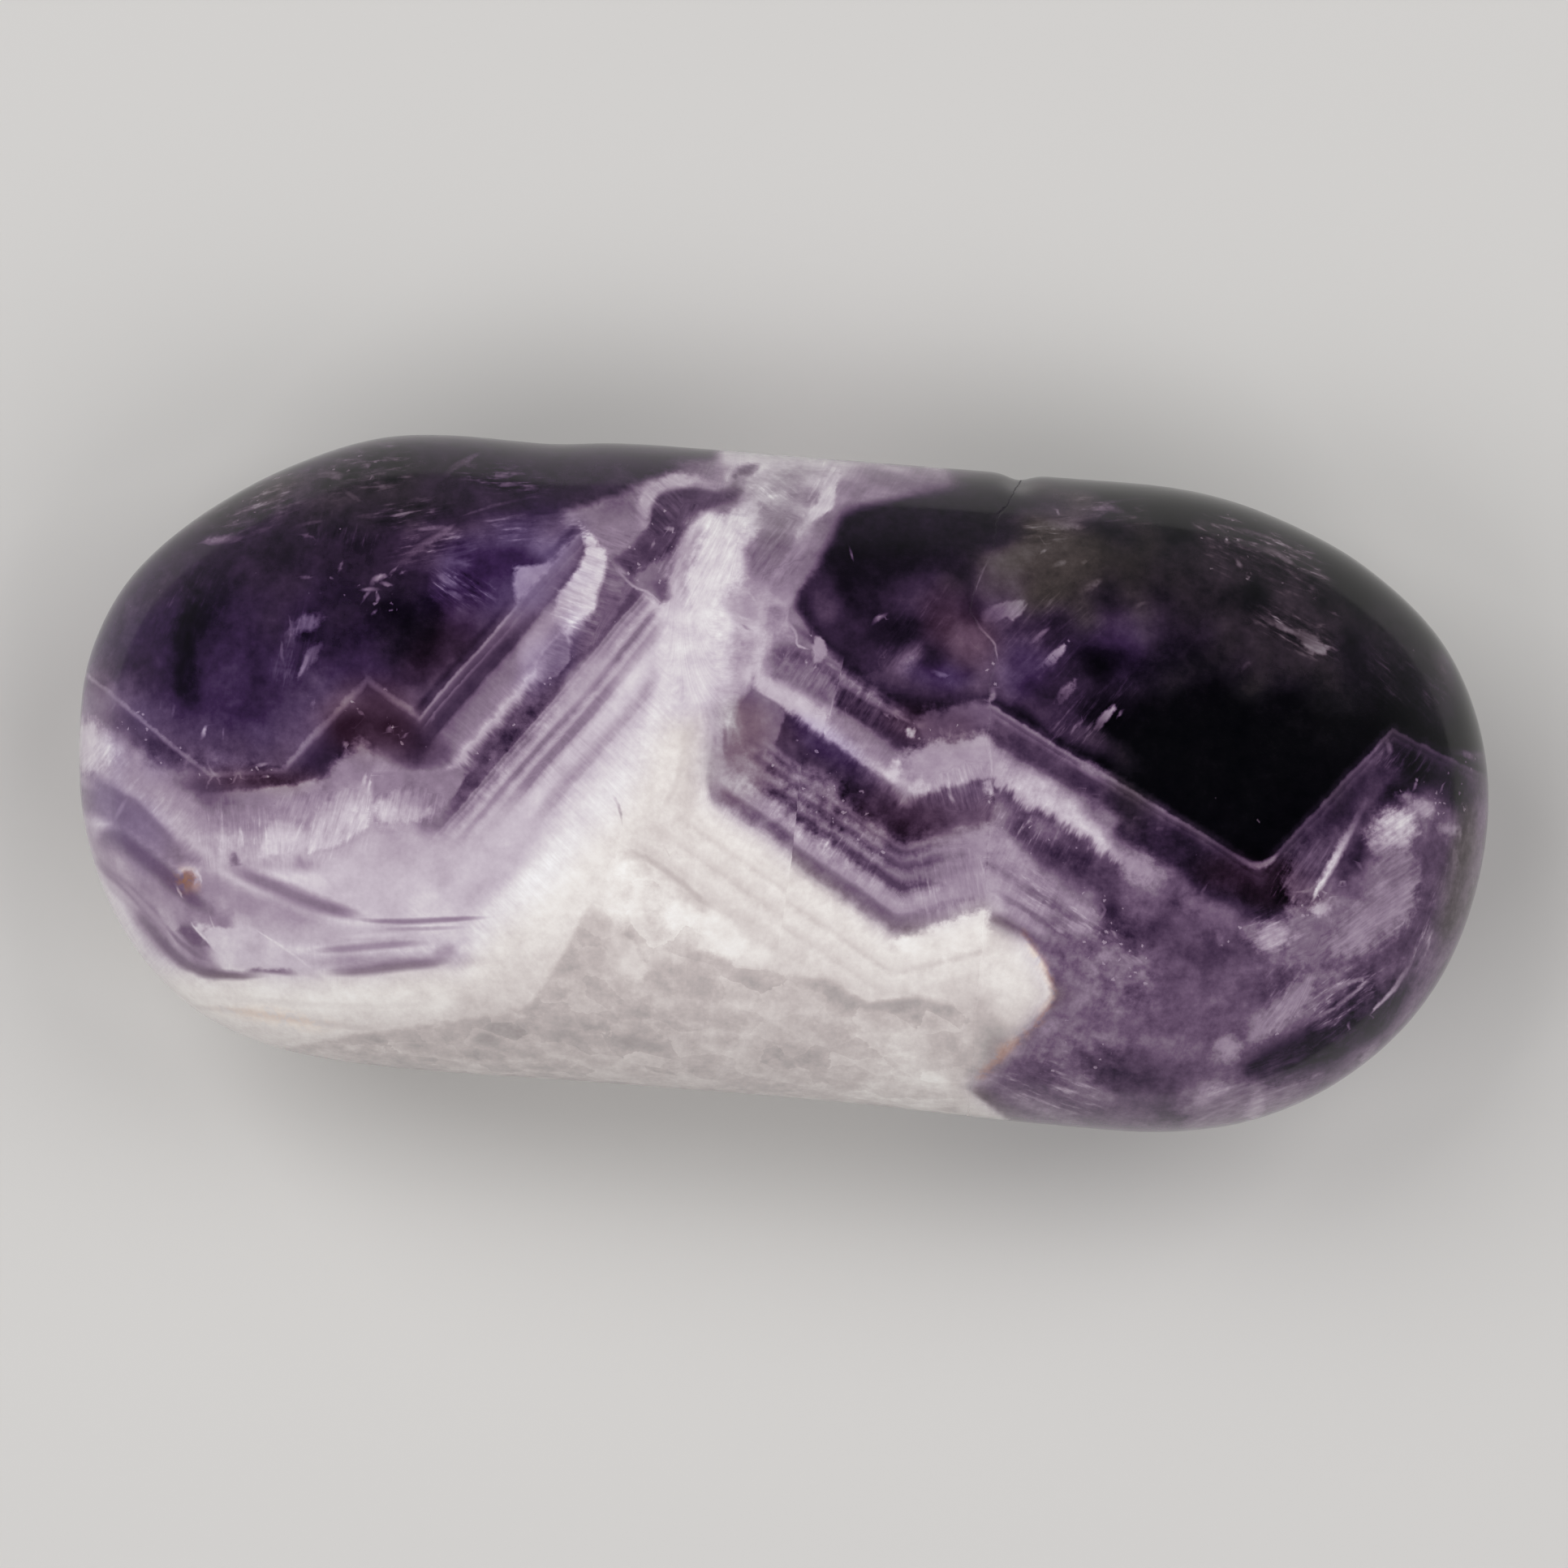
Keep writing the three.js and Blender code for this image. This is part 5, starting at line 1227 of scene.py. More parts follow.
facet_sets = packed("facets", [
    (*facet_fields(corners, soft, *fading), tone)
    for corners, tone, soft, *fading in FACETS
])
stroke_sets, seam_sets = [
    packed(name, [
        (*stroke_fields(points, half_width, strength, rise, fall), tone)
        for points, half_width, tone, strength in lines
    ])
    for name, lines, rise, fall in (("strokes", STROKES, 0.7, 0.6), ("seams", SEAMS, 0.3, 2.5))
]


# The stone's material. All its colour lies on one scale, from near black through violet and mauve to
# milk white, so the bands, fibres, clouds and flecks are worked out as milkiness and coloured once.
class Field:
    """A value over the surface, given by a node. Arithmetic on it lays further nodes in its tree."""

    def __init__(self, tree, socket):
        self.tree = tree
        self.socket = socket

    def math(self, operation, *others):
        node = self.tree.nodes.new("ShaderNodeMath")
        node.operation = operation
        for slot, value in zip(node.inputs, (self, *others)):
            plug(self.tree, value, slot)
        return Field(self.tree, node.outputs[0])

    def __add__(self, other):
        return self.math("ADD", other)

    def __sub__(self, other):
        return self.math("SUBTRACT", other)

    def __mul__(self, other):
        return self.math("MULTIPLY", other)

    def larger(self, other):
        return self.math("MAXIMUM", other)

    def smaller(self, other):
        return self.math("MINIMUM", other)

    def size(self):
        """The value without its sign."""
        return self.math("ABSOLUTE")

    def step(self, low, high, to_low=0.0, to_high=1.0, kind="SMOOTHSTEP"):
        """Rises smoothly from to_low to to_high as the value goes from low to high."""
        node = self.tree.nodes.new("ShaderNodeMapRange")
        node.interpolation_type = kind
        for slot, value in zip(node.inputs, (self, low, high, to_low, to_high)):
            plug(self.tree, value, slot)
        return Field(self.tree, node.outputs[0])

    def towards(self, other, share):
        """Mixes this value with another, by share."""
        node = self.tree.nodes.new("ShaderNodeMix")
        for slot, value in zip((node.inputs[0], node.inputs[2], node.inputs[3]), (share, self, other)):
            plug(self.tree, value, slot)
        return Field(self.tree, node.outputs[0])


def plug(tree, value, slot):
    if isinstance(value, Field):
        tree.links.new(value.socket, slot)
    else:
        slot.default_value = value


def srgb(red, green, blue):
    """A colour as a screen shows it, from 0 to 255, as the linear values that shaders take."""
    parts = [part / 255 for part in (red, green, blue)]
    return (*(p / 12.92 if p <= 0.04045 else ((p + 0.055) / 1.055) ** 2.4 for p in parts), 1.0)


def three_fields(tree, name):
    """Reads three of the numbers that are kept on the stone."""
    kept = tree.nodes.new("ShaderNodeAttribute")
    kept.attribute_name = name
    node = tree.nodes.new("ShaderNodeSeparateXYZ")
    tree.links.new(kept.outputs["Vector"], node.inputs[0])
    return [Field(tree, socket) for socket in node.outputs]


def ramp(tree, field, stops):
    """Colours laid along a value: each stop is a value and a colour."""
    low, high = stops[0][0], stops[-1][0]
    node = tree.nodes.new("ShaderNodeValToRGB")
    plug(tree, field.step(low, high, kind="LINEAR"), node.inputs[0])
    elements = node.color_ramp.elements
    elements.remove(elements[1])
    for index, (value, colour) in enumerate(stops):
        place = (value - low) / (high - low)
        element = elements.new(place) if index else elements[0]
        element.position = place
        element.color = colour
    return Field(tree, node.outputs["Color"])


def laid_out(tree, vector, size, stretch=1.0, turn=0.0):
    """Places in units of a size in millimetres, drawn out along a line turned from the stone's length."""
    node = tree.nodes.new("ShaderNodeMapping")
    node.vector_type = "TEXTURE"
    node.inputs["Rotation"].default_value = (0.0, 0.0, math.radians(turn))
    node.inputs["Scale"].default_value = (size * stretch, size, size)
    tree.links.new(vector, node.inputs["Vector"])
    return node.outputs[0]


def noise_field(tree, vector, detail, roughness):
    node = tree.nodes.new("ShaderNodeTexNoise")
    node.inputs["Scale"].default_value = 1.0
    node.inputs["Detail"].default_value = detail
    node.inputs["Roughness"].default_value = roughness
    tree.links.new(vector, node.inputs["Vector"])
    return Field(tree, node.outputs[0])


def cells(tree, vector):
    node = tree.nodes.new("ShaderNodeTexVoronoi")
    node.inputs["Scale"].default_value = 1.0
    tree.links.new(vector, node.inputs["Vector"])
    return node


CHOICE_EDGE = (0.0, 0.04)
SPOT_EDGE = (-0.04, 0.08)  # in parts of a cell


def flecks(tree, vector, share, smallest, largest):
    """Round spots, one to a cell in some share of the cells, with radii as parts of a cell."""
    cell = cells(tree, vector)
    random = tree.nodes.new("ShaderNodeSeparateColor")
    tree.links.new(cell.outputs["Color"], random.inputs[0])
    chosen = (Field(tree, random.outputs[0]) + (share - 1.0)).step(*CHOICE_EDGE)
    reach = Field(tree, random.outputs[1]).step(0.0, 1.0, smallest, largest)
    return (reach - Field(tree, cell.outputs["Distance"])).step(*SPOT_EDGE) * chosen


def pair(tree, first, second):
    node = tree.nodes.new("ShaderNodeCombineXYZ")
    plug(tree, first, node.inputs[0])
    plug(tree, second, node.inputs[1])
    return node.outputs[0]


def shifted(tree, vector, first, second):
    """Places moved by two values, so that what is laid out on them wavers."""
    node = tree.nodes.new("ShaderNodeVectorMath")
    node.operation = "ADD"
    tree.links.new(vector, node.inputs[0])
    tree.links.new(pair(tree, first, second), node.inputs[1])
    return node.outputs[0]


amethyst = bpy.data.materials.new("amethyst")
amethyst.use_nodes = True
tree = amethyst.node_tree
shader = tree.nodes["Principled BSDF"]

here = tree.nodes.new("ShaderNodeTexCoord")
to_mm = tree.nodes.new("ShaderNodeVectorMath")
to_mm.operation = "SCALE"
to_mm.inputs["Scale"].default_value = 1.0 / MM
tree.links.new(here.outputs["Object"], to_mm.inputs[0])
spot = to_mm.outputs[0]
WOBBLE_SIZE = 0.9  # these three in millimetres
CLOUD_SIZE = 2.6
FINE_SIZE = 0.3
wobble = noise_field(tree, laid_out(tree, spot, WOBBLE_SIZE), detail=3.0, roughness=0.65) - 0.5
clouds = noise_field(tree, laid_out(tree, spot, CLOUD_SIZE), detail=5.0, roughness=0.66) - 0.5
fine = noise_field(tree, laid_out(tree, spot, FINE_SIZE), detail=2.0, roughness=0.6) - 0.5

base_milk, cloudy_share, grain_share = three_fields(tree, "milk")
veil_tone, veil_share, fleck_share = three_fields(tree, "veil")
left_share, diagonal_share, middle_share = three_fields(tree, "bands_shown")
left_run, main_run, right_share = three_fields(tree, "along")
breaks = three_fields(tree, "breaks")
low_1, low_2, low_3 = three_fields(tree, "left_low")
high_1, high_2 = three_fields(tree, "left_high")[:2]
middle_1, middle_2, middle_3 = three_fields(tree, "middle")
right_1, right_2, right_3 = three_fields(tree, "right")

# How deep in the bands each spot lies. The bands have slipped along the faults, and break off at the crack.
SLIP = 0.5  # millimetres, along each of the two faults
HEALED_DEPTH = (3.0, 4.6)  # where the high fault dies out and the low one sets in
BREAK_WOBBLE = 0.3
BREAK_EDGE = 0.02
PEAK_ROUNDING = 0.5
RIND_ROUNDING = 2.5
VALLEY_ROUNDING = 0.6
crack, high_fault, low_fault = [line + wobble * BREAK_WOBBLE for line in breaks]
right_of_crack = crack.step(-BREAK_EDGE, BREAK_EDGE)
left_depth = low_1.larger(low_2).larger(low_3).smaller(high_1.larger(high_2))
middle_peak = middle_1.math("SMOOTH_MAX", middle_2, PEAK_ROUNDING)
middle_depth = middle_peak.math("SMOOTH_MAX", middle_3, RIND_ROUNDING)
high_slip = middle_depth.step(*HEALED_DEPTH, 1.0, 0.0) * high_fault.step(BREAK_EDGE, -BREAK_EDGE)
low_slip = middle_depth.step(*HEALED_DEPTH) * low_fault.step(BREAK_EDGE, -BREAK_EDGE)
middle_depth = middle_depth + (high_slip + low_slip) * SLIP
right_depth = right_1.math("SMOOTH_MAX", right_2, VALLEY_ROUNDING).smaller(right_3)
main_depth = middle_depth.towards(right_depth, right_of_crack)

# Fibres stand square to the growth faces: fine along a face and long through it. Their tips are ragged.
FIBRE_WIDTH = 0.24
FIBRE_LENGTH = 2.4
TOOTH_WIDTH = 0.9
TOOTH_LENGTH = 3.4
LEFT_PART = (-19.0, -16.0)  # millimetres from the crack, where the left crystal's fibres take over
left_side = breaks[0].step(*LEFT_PART, 1.0, 0.0)
run = main_run.towards(left_run, left_side)
depth = main_depth.towards(left_depth, left_side)
fine_fibres = pair(tree, run * (1.0 / FIBRE_WIDTH), depth * (1.0 / FIBRE_LENGTH))
fibre = noise_field(tree, fine_fibres, detail=2.0, roughness=0.7) - 0.5
broad_fibres = pair(tree, run * (1.0 / TOOTH_WIDTH), depth * (1.0 / TOOTH_LENGTH))
tooth = noise_field(tree, broad_fibres, detail=3.0, roughness=0.75) - 0.5

LEFT_BANDS = [
    (-5.0, 0.13), (-3.2, 0.15), (-2.2, 0.20), (-1.2, 0.27), (-0.6, 0.32), (-0.2, 0.34), (-0.1, 0.46),
    (0.0, 0.50), (0.08, 0.44), (0.2, 0.30), (0.5, 0.27), (1.0, 0.30), (1.4, 0.37), (1.65, 0.46), (2.0, 0.54),
    (2.6, 0.60), (3.1, 0.66), (3.6, 0.71), (4.0, 0.73), (4.3, 0.66), (4.6, 0.57), (5.0, 0.52),
    (5.6, 0.52), (6.4, 0.60),
]
DIAGONAL_BANDS = [
    (-1.5, 0.14), (-0.5, 0.19), (-0.12, 0.26), (-0.04, 0.50), (0.05, 0.52), (0.14, 0.38), (0.3, 0.30),
    (0.44, 0.26), (0.5, 0.38), (0.57, 0.36), (0.66, 0.27), (1.0, 0.23), (1.35, 0.24), (1.55, 0.40),
    (2.0, 0.46), (2.9, 0.52), (3.15, 0.62), (3.35, 0.72), (3.6, 0.66), (3.85, 0.50), (4.15, 0.36),
    (4.6, 0.29), (5.2, 0.30), (5.36, 0.34), (5.46, 0.50), (5.6, 0.46), (5.72, 0.58), (5.95, 0.53),
    (6.1, 0.62), (6.35, 0.70), (6.5, 0.64), (6.62, 0.50), (6.8, 0.47), (6.95, 0.60), (7.1, 0.68),
    (7.25, 0.66), (7.4, 0.52), (7.6, 0.49), (7.85, 0.50), (8.0, 0.66), (8.3, 0.76), (8.9, 0.74),
    (9.1, 0.69), (9.4, 0.65), (9.7, 0.68), (9.9, 0.77), (10.4, 0.82), (11.0, 0.86), (12.0, 0.87),
]
MIDDLE_BANDS = [
    (-0.6, 0.21), (-0.2, 0.26), (0.0, 0.38), (0.14, 0.46), (0.3, 0.42), (0.5, 0.37), (0.65, 0.38),
    (0.85, 0.33), (1.0, 0.26), (1.15, 0.20), (1.5, 0.20), (1.75, 0.28), (1.95, 0.42), (2.3, 0.50),
    (2.9, 0.55), (3.3, 0.66), (3.7, 0.74), (3.95, 0.64), (4.25, 0.42), (4.6, 0.26), (5.2, 0.19),
    (6.0, 0.18), (6.4, 0.27), (6.6, 0.42), (6.8, 0.44), (7.0, 0.34), (7.2, 0.40), (7.45, 0.46),
    (7.65, 0.36), (7.9, 0.32), (8.1, 0.42), (8.35, 0.50), (8.55, 0.40), (8.7, 0.30), (9.0, 0.31),
    (9.2, 0.46), (9.4, 0.60), (9.8, 0.66), (10.2, 0.62), (10.4, 0.48), (10.6, 0.41), (11.0, 0.45),
    (11.25, 0.56), (11.5, 0.72), (11.9, 0.85), (12.6, 0.90), (13.2, 0.88), (13.5, 0.84), (13.8, 0.89),
    (14.4, 0.88), (14.9, 0.83), (15.2, 0.87), (15.7, 0.88), (16.1, 0.85), (16.8, 0.84),
]
RIGHT_BANDS = [
    (-0.5, 0.10), (-0.12, 0.18), (0.0, 0.44), (0.1, 0.46), (0.2, 0.36), (0.34, 0.32), (0.42, 0.38),
    (0.5, 0.36), (0.7, 0.28), (1.1, 0.24), (1.5, 0.24), (1.8, 0.32), (2.0, 0.46), (2.4, 0.62), (2.9, 0.72),
    (3.5, 0.76), (3.8, 0.68), (4.05, 0.50), (4.3, 0.34), (5.4, 0.27), (6.0, 0.30), (6.2, 0.46), (6.6, 0.56),
    (7.2, 0.60), (7.7, 0.58), (8.1, 0.54), (8.25, 0.46), (8.4, 0.43), (8.65, 0.46), (8.8, 0.56), (9.1, 0.60),
    (9.4, 0.58), (9.55, 0.46), (9.75, 0.46), (9.9, 0.58), (10.3, 0.62), (10.7, 0.52), (10.9, 0.40),
    (11.2, 0.40), (11.5, 0.50),
]


def bands(depth, stops):
    """Milkiness along a depth in millimetres, straight from each stop to the next."""
    first, last = stops[0][0], stops[-1][0]
    node = tree.nodes.new("ShaderNodeFloatCurve")
    plug(tree, depth.step(first, last, kind="LINEAR"), node.inputs["Value"])
    curve = node.mapping.curves[0]
    places_along = [((mm - first) / (last - first), tone) for mm, tone in stops]
    curve.points[0].location, curve.points[1].location = places_along[0], places_along[-1]
    for place, tone in places_along[1:-1]:
        curve.points.new(place, tone)
    for point in curve.points:
        point.handle_type = "VECTOR"
    node.mapping.update()
    return Field(tree, node.outputs[0])


FIBRES_IN_TEETH = 0.15


def fringe(depth, start, end, length):
    """Pushes a band's bright edge out and in between its teeth, from a start depth to an end depth."""
    middle = (start + end) / 2
    zone = depth.step(start, middle) * depth.step(end, middle)
    return depth + (tooth + fibre * FIBRES_IN_TEETH) * zone * length


left_ragged = fringe(left_depth, start=2.2, end=6.4, length=2.0) + wobble * 0.4
diagonal_ragged = fringe(high_2, start=2.6, end=5.4, length=1.8) + wobble * 0.24
middle_ragged = fringe(middle_depth, start=2.8, end=5.8, length=2.2)
middle_ragged = fringe(middle_ragged, start=5.4, end=12.4, length=0.5) + wobble * 0.5
right_ragged = fringe(right_depth, start=2.6, end=5.8, length=2.6) + wobble * 0.3

# The depths over which the bands set in, and those over which the left crystal's own fade out again.
LEFT_ONSET = (-3.4, -1.4)
LEFT_FADE = (6.2, 4.8)
DIAGONAL_ONSET = (-0.9, -0.4)
ONSET = (-0.6, -0.2)
milkiness = base_milk
left_share = left_share * left_depth.step(*LEFT_ONSET) * left_depth.step(*LEFT_FADE)
milkiness = milkiness.towards(bands(left_ragged, LEFT_BANDS), left_share)
diagonal_share = diagonal_share * high_2.step(*DIAGONAL_ONSET)
milkiness = milkiness.towards(bands(diagonal_ragged, DIAGONAL_BANDS), diagonal_share)
middle_share = middle_share * (right_of_crack * -1.0 + 1.0) * middle_depth.step(*ONSET)
milkiness = milkiness.towards(bands(middle_ragged, MIDDLE_BANDS), middle_share)
right_share = right_share * right_of_crack * right_depth.step(*ONSET)
milkiness = milkiness.towards(bands(right_ragged, RIGHT_BANDS), right_share)
cream_share, rust_share, shade_share = three_fields(tree, "rind_tints")
milkiness = milkiness * (shade_share * -1.0 + 1.0)

# Fibres brighten and dim the pale bands, and a slow unevenness runs through everything. The veils go over
# both. Clouds and a fine grain come last, and both are fainter where the quartz is dark.
FIBRES_SHOW = (0.25, 0.6)  # from this milkiness to that
fibrous = milkiness.step(*FIBRES_SHOW) * (cream_share * -0.8 + 1.0)
fibres = (fibre * 0.14 + tooth * 0.10) * fibrous
uneven = wobble * milkiness.step(0.0, 0.5, to_low=0.04, to_high=0.09)
milkiness = milkiness + fibres + uneven
milkiness = milkiness.towards(veil_tone + clouds * 0.12 + wobble * 0.06, veil_share)
lumps = (clouds * 0.7 + wobble * 0.4) * cloudy_share * (cream_share * -0.7 + 1.0)
milkiness = milkiness + lumps * milkiness.step(0.0, 0.35, to_low=0.4, to_high=1.0)
milkiness = milkiness + fine * milkiness.step(0.0, 0.6, to_low=0.02, to_high=0.06)

# Feathers, drawn out in the direction that the crystal broke and healed.
WISP_WIDTH = 0.3
WISP_STRETCH = 6.0
WISP_EDGE = (0.0, 0.2)
WISP_CLOUDS = (-0.12, 0.12)  # wisps gather where the clouds are
along_wisps, across_wisps, feather_share = three_fields(tree, "feathered")
along_wisps = along_wisps * (1.0 / WISP_WIDTH / WISP_STRETCH)
across_wisps = across_wisps * (1.0 / WISP_WIDTH)
wisp = noise_field(tree, pair(tree, along_wisps, across_wisps), detail=3.0, roughness=0.62) - 0.5
feathered = wisp.step(*WISP_EDGE) * clouds.step(*WISP_CLOUDS)
milkiness = milkiness + (feathered * 0.34 + wisp * 0.3 - 0.05) * feather_share

# The old rind is a mass of small grains, some clear and grey, some milky, with pale rims.
GRAIN_SIZE = 1.5
GRAIN_STRETCH = 1.5
GRAIN_TURN = -14
GRAIN_RIM = (0.3, 0.8)  # in parts of a grain
GRAIN_CONTRAST = 0.08
grain_grid = laid_out(tree, spot, GRAIN_SIZE, GRAIN_STRETCH, GRAIN_TURN)
grain = cells(tree, shifted(tree, grain_grid, wobble * 0.6, clouds * 0.8))
grain_parts = tree.nodes.new("ShaderNodeSeparateColor")
tree.links.new(grain.outputs["Color"], grain_parts.inputs[0])
grain_tone = (Field(tree, grain_parts.outputs[0]) - 0.5) * GRAIN_CONTRAST
grain_rim = Field(tree, grain.outputs["Distance"]).step(*GRAIN_RIM, to_low=-0.01, to_high=0.03)
grain_tone = grain_tone + grain_rim
milkiness = milkiness + (grain_tone + clouds * 0.05 + wobble * 0.06) * grain_share
milkiness = milkiness + (clouds * 0.08 + wobble * 0.05) * cream_share

# Seams are soft. Facets fray into wisps at their edges, and strokes are clearest in the middle.
SEAM_EDGE = (1.7, 0.2)  # in half widths
FACET_EDGE = (-0.6, 0.6)  # in parts of its softness
STROKE_SIDES = (1.5, 0.2)  # in half widths
for number in range(seam_sets):
    across, strength, tone = three_fields(tree, f"seams_{number}")
    body = (across + wobble * 0.5).size().step(*SEAM_EDGE) * strength
    milkiness = milkiness.towards(tone + clouds * 0.08 + fine * 0.06, body)
frayed = wobble * 1.7 + wisp * 0.6 + fine * 0.6
for number in range(facet_sets):
    inside, strength, tone = three_fields(tree, f"facets_{number}")
    body = (inside + frayed).step(*FACET_EDGE) * strength
    milkiness = milkiness.towards(tone + wisp * 0.34 + clouds * 0.26 + wobble * 0.16, body)
for number in range(stroke_sets):
    across, strength, tone = three_fields(tree, f"strokes_{number}")
    body = (across + wobble * 1.2 + fine * 0.7).size().step(*STROKE_SIDES) * strength
    milkiness = milkiness.towards(tone + fine * 0.3, body)

# Bright crumbs in the dark quartz, ragged and only where flecks are many, and small specks all over it.
CRUMB_SPACING = 0.32
SPECK_SPACING = 0.9
DARK = (0.6, 0.3)  # from this milkiness down to that
dark = milkiness.step(*DARK)
crumb_grid = shifted(tree, laid_out(tree, spot, CRUMB_SPACING), fine * 1.8, fibre * 1.2)
crumbs = flecks(tree, crumb_grid, (fleck_share - FEW_FLECKS) * 0.2, smallest=0.04, largest=0.36)
speck_grid = laid_out(tree, spot, SPECK_SPACING)
specks = flecks(tree, speck_grid, fleck_share * 0.14, smallest=0.02, largest=0.08)
milkiness = milkiness + (specks * 0.45 + crumbs * 0.24) * dark
milkiness = milkiness.larger(0.0).smaller(1.0)

# The colours of the stone: each milkiness, and the red, green and blue of it on a screen, from 0 to 255.
AMETHYST_SCALE = [
    (0.0, 2, 2, 5), (0.05, 7, 5, 11), (0.1, 20, 13, 26), (0.14, 34, 23, 41), (0.2, 54, 37, 62),
    (0.27, 77, 57, 83), (0.34, 97, 75, 102), (0.4, 114, 91, 118), (0.47, 132, 113, 134),
    (0.54, 150, 130, 152), (0.62, 168, 150, 169), (0.7, 187, 172, 187), (0.78, 206, 194, 206),
    (0.86, 224, 216, 222), (0.94, 240, 236, 238), (1.0, 252, 250, 252),
]
VIOLET_SCALE = [
    (0.0, 3, 2, 7), (0.05, 8, 4, 15), (0.1, 20, 10, 31), (0.2, 57, 35, 75), (0.33, 93, 73, 111),
    (0.5, 134, 114, 150), (0.7, 184, 168, 197), (1.0, 250, 248, 252),
]
PLUM_SCALE = [
    (0.0, 4, 2, 5), (0.07, 17, 8, 16), (0.14, 42, 22, 38), (0.22, 68, 45, 65), (0.33, 100, 74, 96),
    (0.45, 128, 104, 120), (0.6, 160, 146, 156), (1.0, 250, 248, 250),
]
# the smoky tint's colours, which also give the painted reflection its grey sheen
SMOKE_AND_SHEEN_SCALE = [
    (0.0, 2, 3, 6), (0.05, 8, 8, 11), (0.1, 20, 19, 22), (0.18, 46, 40, 41), (0.26, 71, 62, 62),
    (0.4, 106, 97, 99), (0.6, 152, 146, 150), (0.8, 205, 201, 204), (1.0, 248, 247, 248),
]
CREAM_SCALE = [
    (0.0, 24, 18, 18), (0.3, 88, 74, 74), (0.5, 138, 125, 124), (0.68, 180, 171, 171),
    (0.76, 201, 190, 189), (0.84, 221, 212, 210), (0.92, 240, 234, 231), (1.0, 252, 249, 247),
]
RUST_SCALE = [
    (0.0, 30, 12, 6), (0.3, 110, 66, 48), (0.6, 178, 130, 104), (0.85, 234, 208, 188), (1.0, 252, 244, 236),
]


def mixed_colour(first, second, share):
    node = tree.nodes.new("ShaderNodeMix")
    node.data_type = "RGBA"
    for slot, value in zip((node.inputs[0], node.inputs[6], node.inputs[7]), (share, first, second)):
        plug(tree, value, slot)
    return Field(tree, node.outputs[2])


def coloured(scale):
    return ramp(tree, milkiness, [(tone, srgb(*parts)) for tone, *parts in scale])


RUST_SPECKLE = (-0.1, 0.02)
violet_share, plum_share, smoke_and_sheen_share = three_fields(tree, "tints")
colour = coloured(AMETHYST_SCALE)
for scale, share in (
    (VIOLET_SCALE, violet_share),
    (PLUM_SCALE, plum_share),
    (SMOKE_AND_SHEEN_SCALE, smoke_and_sheen_share),
    (CREAM_SCALE, cream_share),
    (RUST_SCALE, rust_share * wobble.step(*RUST_SPECKLE)),
):
    colour = mixed_colour(colour, coloured(scale), share)
plug(tree, colour, shader.inputs["Base Color"])

# The polish is even, a little softer on the grainy rind, and broken by the open crack.
CRACK_WIDTH = 0.12  # millimetres to each side
BRIGHT_POLISH = 0.1
SOFT_POLISH = 0.18
RIND_SOFTER = 0.08
UNPOLISHED = 0.5
QUARTZ_IOR = 1.54
BUMP_DEPTH = 0.1  # millimetres
outside_crack = crack.size().step(0.0, CRACK_WIDTH)
polish = clouds.step(-0.2, 0.2, BRIGHT_POLISH, SOFT_POLISH) + grain_share * RIND_SOFTER
roughness = polish.larger(outside_crack.step(0.0, 1.0, UNPOLISHED, 0.0))
plug(tree, roughness, shader.inputs["Roughness"])
shader.inputs["IOR"].default_value = QUARTZ_IOR
bump = tree.nodes.new("ShaderNodeBump")
bump.inputs["Strength"].default_value = 0.2
bump.inputs["Distance"].default_value = BUMP_DEPTH * MM
plug(tree, outside_crack + fine * 0.08, bump.inputs["Height"])
tree.links.new(bump.outputs[0], shader.inputs["Normal"])

stone.data.materials.clear()
stone.data.materials.append(amethyst)
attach(stone, "root")
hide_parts(STONE)


# The floor. A broad sheet of matt pale board, laid level. The stone isn't fixed to it, and lies on the small
# flat that is ground on its underside.
FLOOR_WIDTH = 3.0
BOARD_COLOUR = (214, 212, 210)
BOARD_ROUGHNESS = 0.9
half = FLOOR_WIDTH / 2
floor_corners = [(-half, -half, 0.0), (half, -half, 0.0), (half, half, 0.0), (-half, half, 0.0)]
floor_mesh = bpy.data.meshes.new("floor")
floor_mesh.from_pydata(floor_corners, [], [(0, 1, 2, 3)])
floor = bpy.data.objects.new("floor", floor_mesh)
bpy.context.scene.collection.objects.link(floor)
board = bpy.data.materials.new("board")
board.use_nodes = True
board_shader = board.node_tree.nodes["Principled BSDF"]
board_shader.inputs["Base Color"].default_value = srgb(*BOARD_COLOUR)
board_shader.inputs["Roughness"].default_value = BOARD_ROUGHNESS
floor_mesh.materials.append(board)


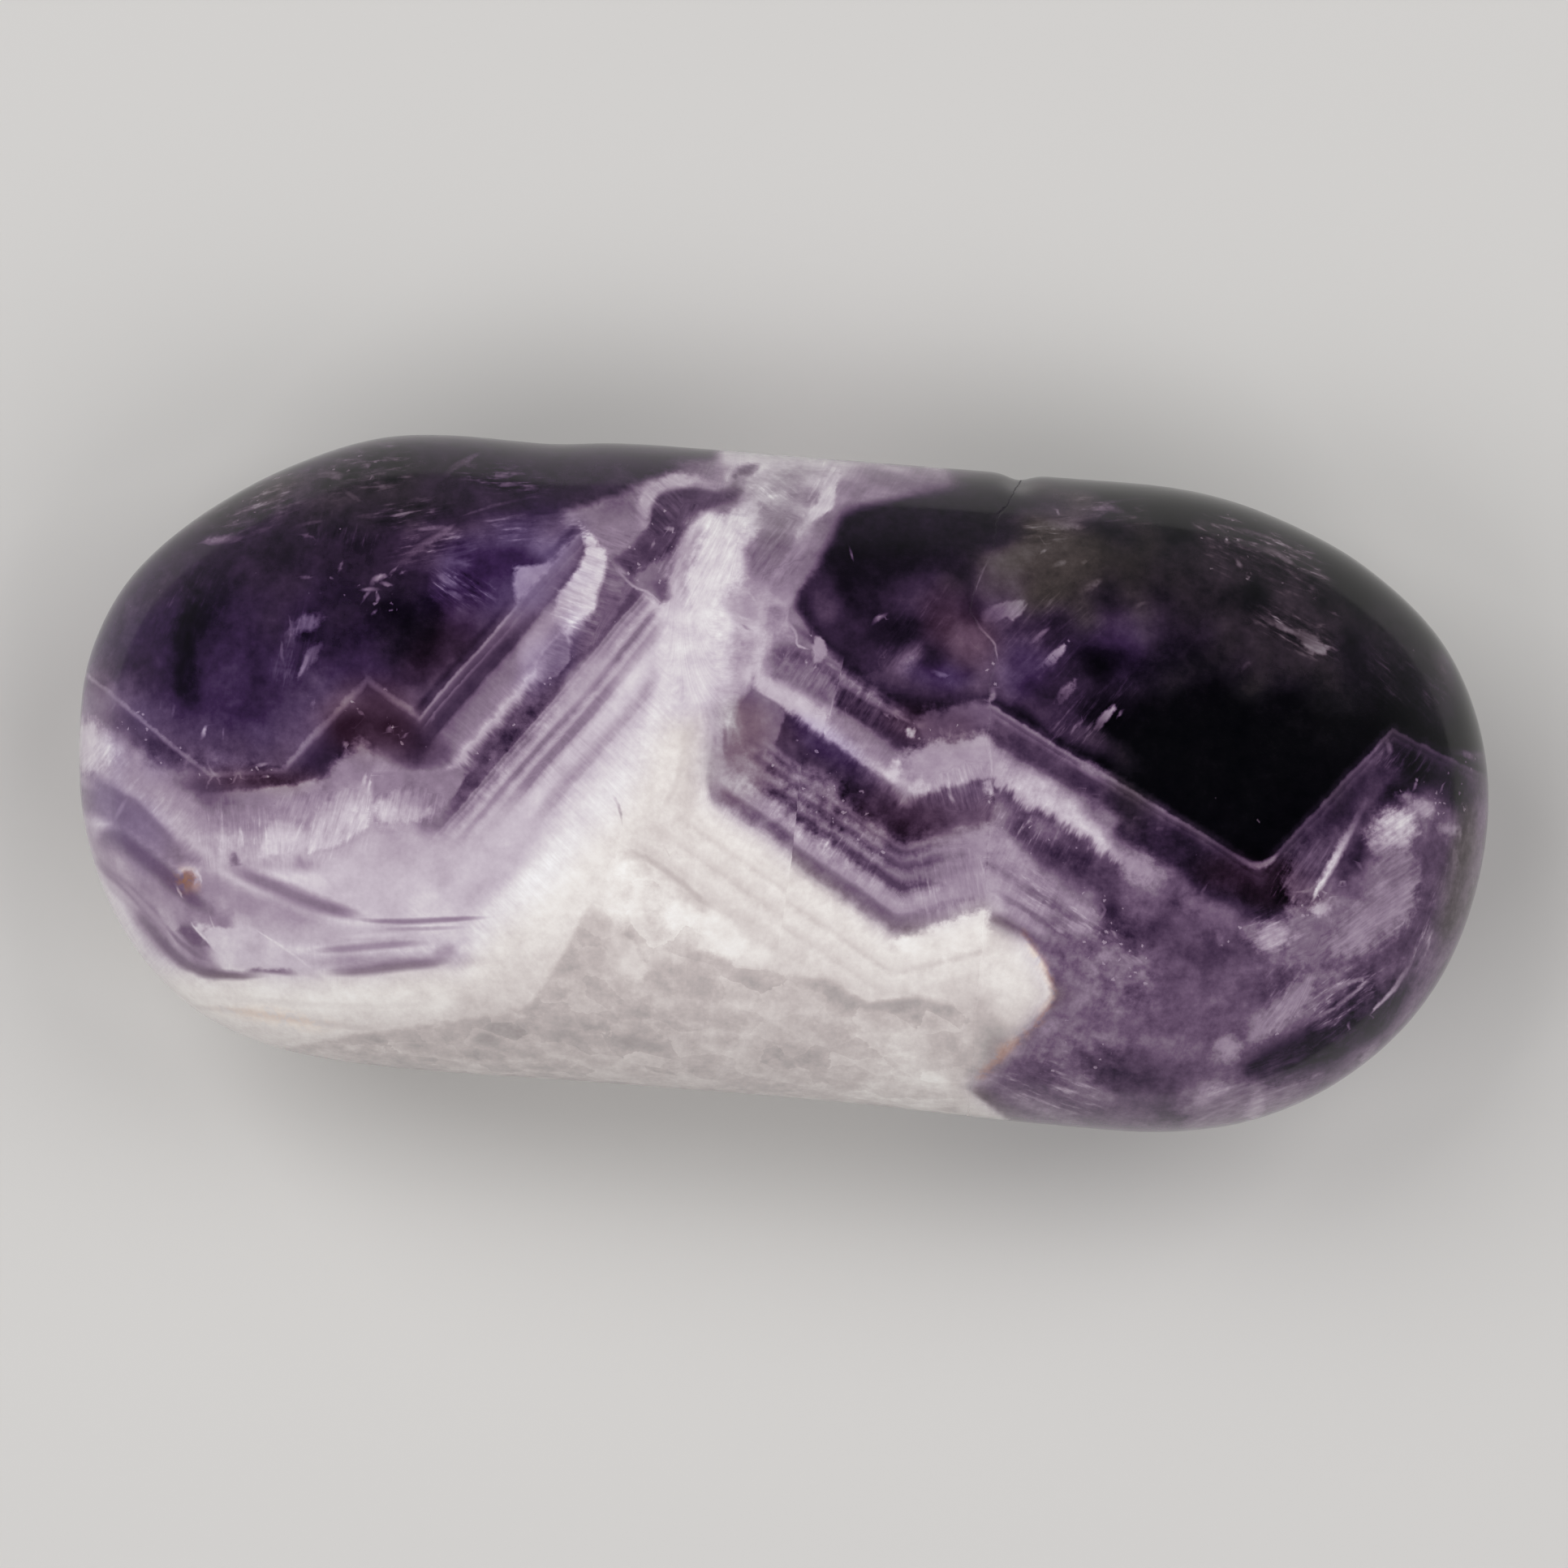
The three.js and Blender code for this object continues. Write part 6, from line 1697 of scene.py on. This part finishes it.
# The studio. Four broad soft lamps stand around the stone behind polarising film, which keeps their own
# images off the polish. What the polish does mirror is the room: pale low down and dark overhead.
LAMP_DISTANCE = 1.0
LAMP_WIDTH = 0.6
LAMP_RISE = math.radians(48)
LAMPS = [(35, 3.4), (145, 4.2), (-145, 3.1), (-35, 2.9)]  # the side each stands on in degrees, and its watts
STONE_MIDDLE = Vector((0.0, 0.0, GIRDLE * MM))
for side, power in LAMPS:
    light = bpy.data.lights.new("lamp", "AREA")
    light.size = LAMP_WIDTH
    light.energy = power
    lamp = bpy.data.objects.new("lamp", light)
    lamp.visible_glossy = False
    way = Vector((
        math.cos(math.radians(side)) * math.cos(LAMP_RISE),
        math.sin(math.radians(side)) * math.cos(LAMP_RISE),
        math.sin(LAMP_RISE),
    ))
    lamp.location = STONE_MIDDLE + way * LAMP_DISTANCE
    lamp.rotation_euler = (-way).to_track_quat("-Z", "Y").to_euler()
    bpy.context.scene.collection.objects.link(lamp)

# The room's brightness by height, from level with the stone to straight overhead.
ROOM = [(0.0, 0.26), (0.35, 0.16), (0.6, 0.06), (0.8, 0.014), (1.0, 0.01)]
world = bpy.data.worlds.new("studio")
world.use_nodes = True
room = world.node_tree
ways = room.nodes.new("ShaderNodeTexCoord")
way_parts = room.nodes.new("ShaderNodeSeparateXYZ")
room.links.new(ways.outputs["Generated"], way_parts.inputs[0])
room_greys = [(height, (light, light, light, 1.0)) for height, light in ROOM]
room_light = ramp(room, Field(room, way_parts.outputs[2]), room_greys)
plug(room, room_light, room.nodes["Background"].inputs["Color"])
bpy.context.scene.world = world
bpy.context.scene.view_settings.view_transform = "Standard"

# The camera looks straight down on the stone, from as far as its lens needs.
PICTURE_SIDE = 1932  # pixels, square
PIXELS_PER_MM = 20.0
STONE_PIXEL = (964.9, 961.4)  # where the stone's middle is in the picture
STONE_TILT = math.radians(4.2)  # the stone's right end is lower in the picture
LENS = 200.0
SENSOR = 36.0
picture_width = PICTURE_SIDE / PIXELS_PER_MM * MM
camera_data = bpy.data.cameras.new("camera")
camera_data.lens = LENS
camera_data.sensor_width = SENSOR
camera = bpy.data.objects.new("camera", camera_data)
camera_height = picture_width * LENS / SENSOR
off_right = (PICTURE_SIDE / 2 - STONE_PIXEL[0]) / PIXELS_PER_MM * MM
off_up = (STONE_PIXEL[1] - PICTURE_SIDE / 2) / PIXELS_PER_MM * MM
camera.rotation_euler = (0.0, 0.0, STONE_TILT)
camera.location = STONE_MIDDLE + Vector((
    off_right * math.cos(STONE_TILT) - off_up * math.sin(STONE_TILT),
    off_right * math.sin(STONE_TILT) + off_up * math.cos(STONE_TILT),
    camera_height,
))
bpy.context.scene.collection.objects.link(camera)
bpy.context.scene.camera = camera
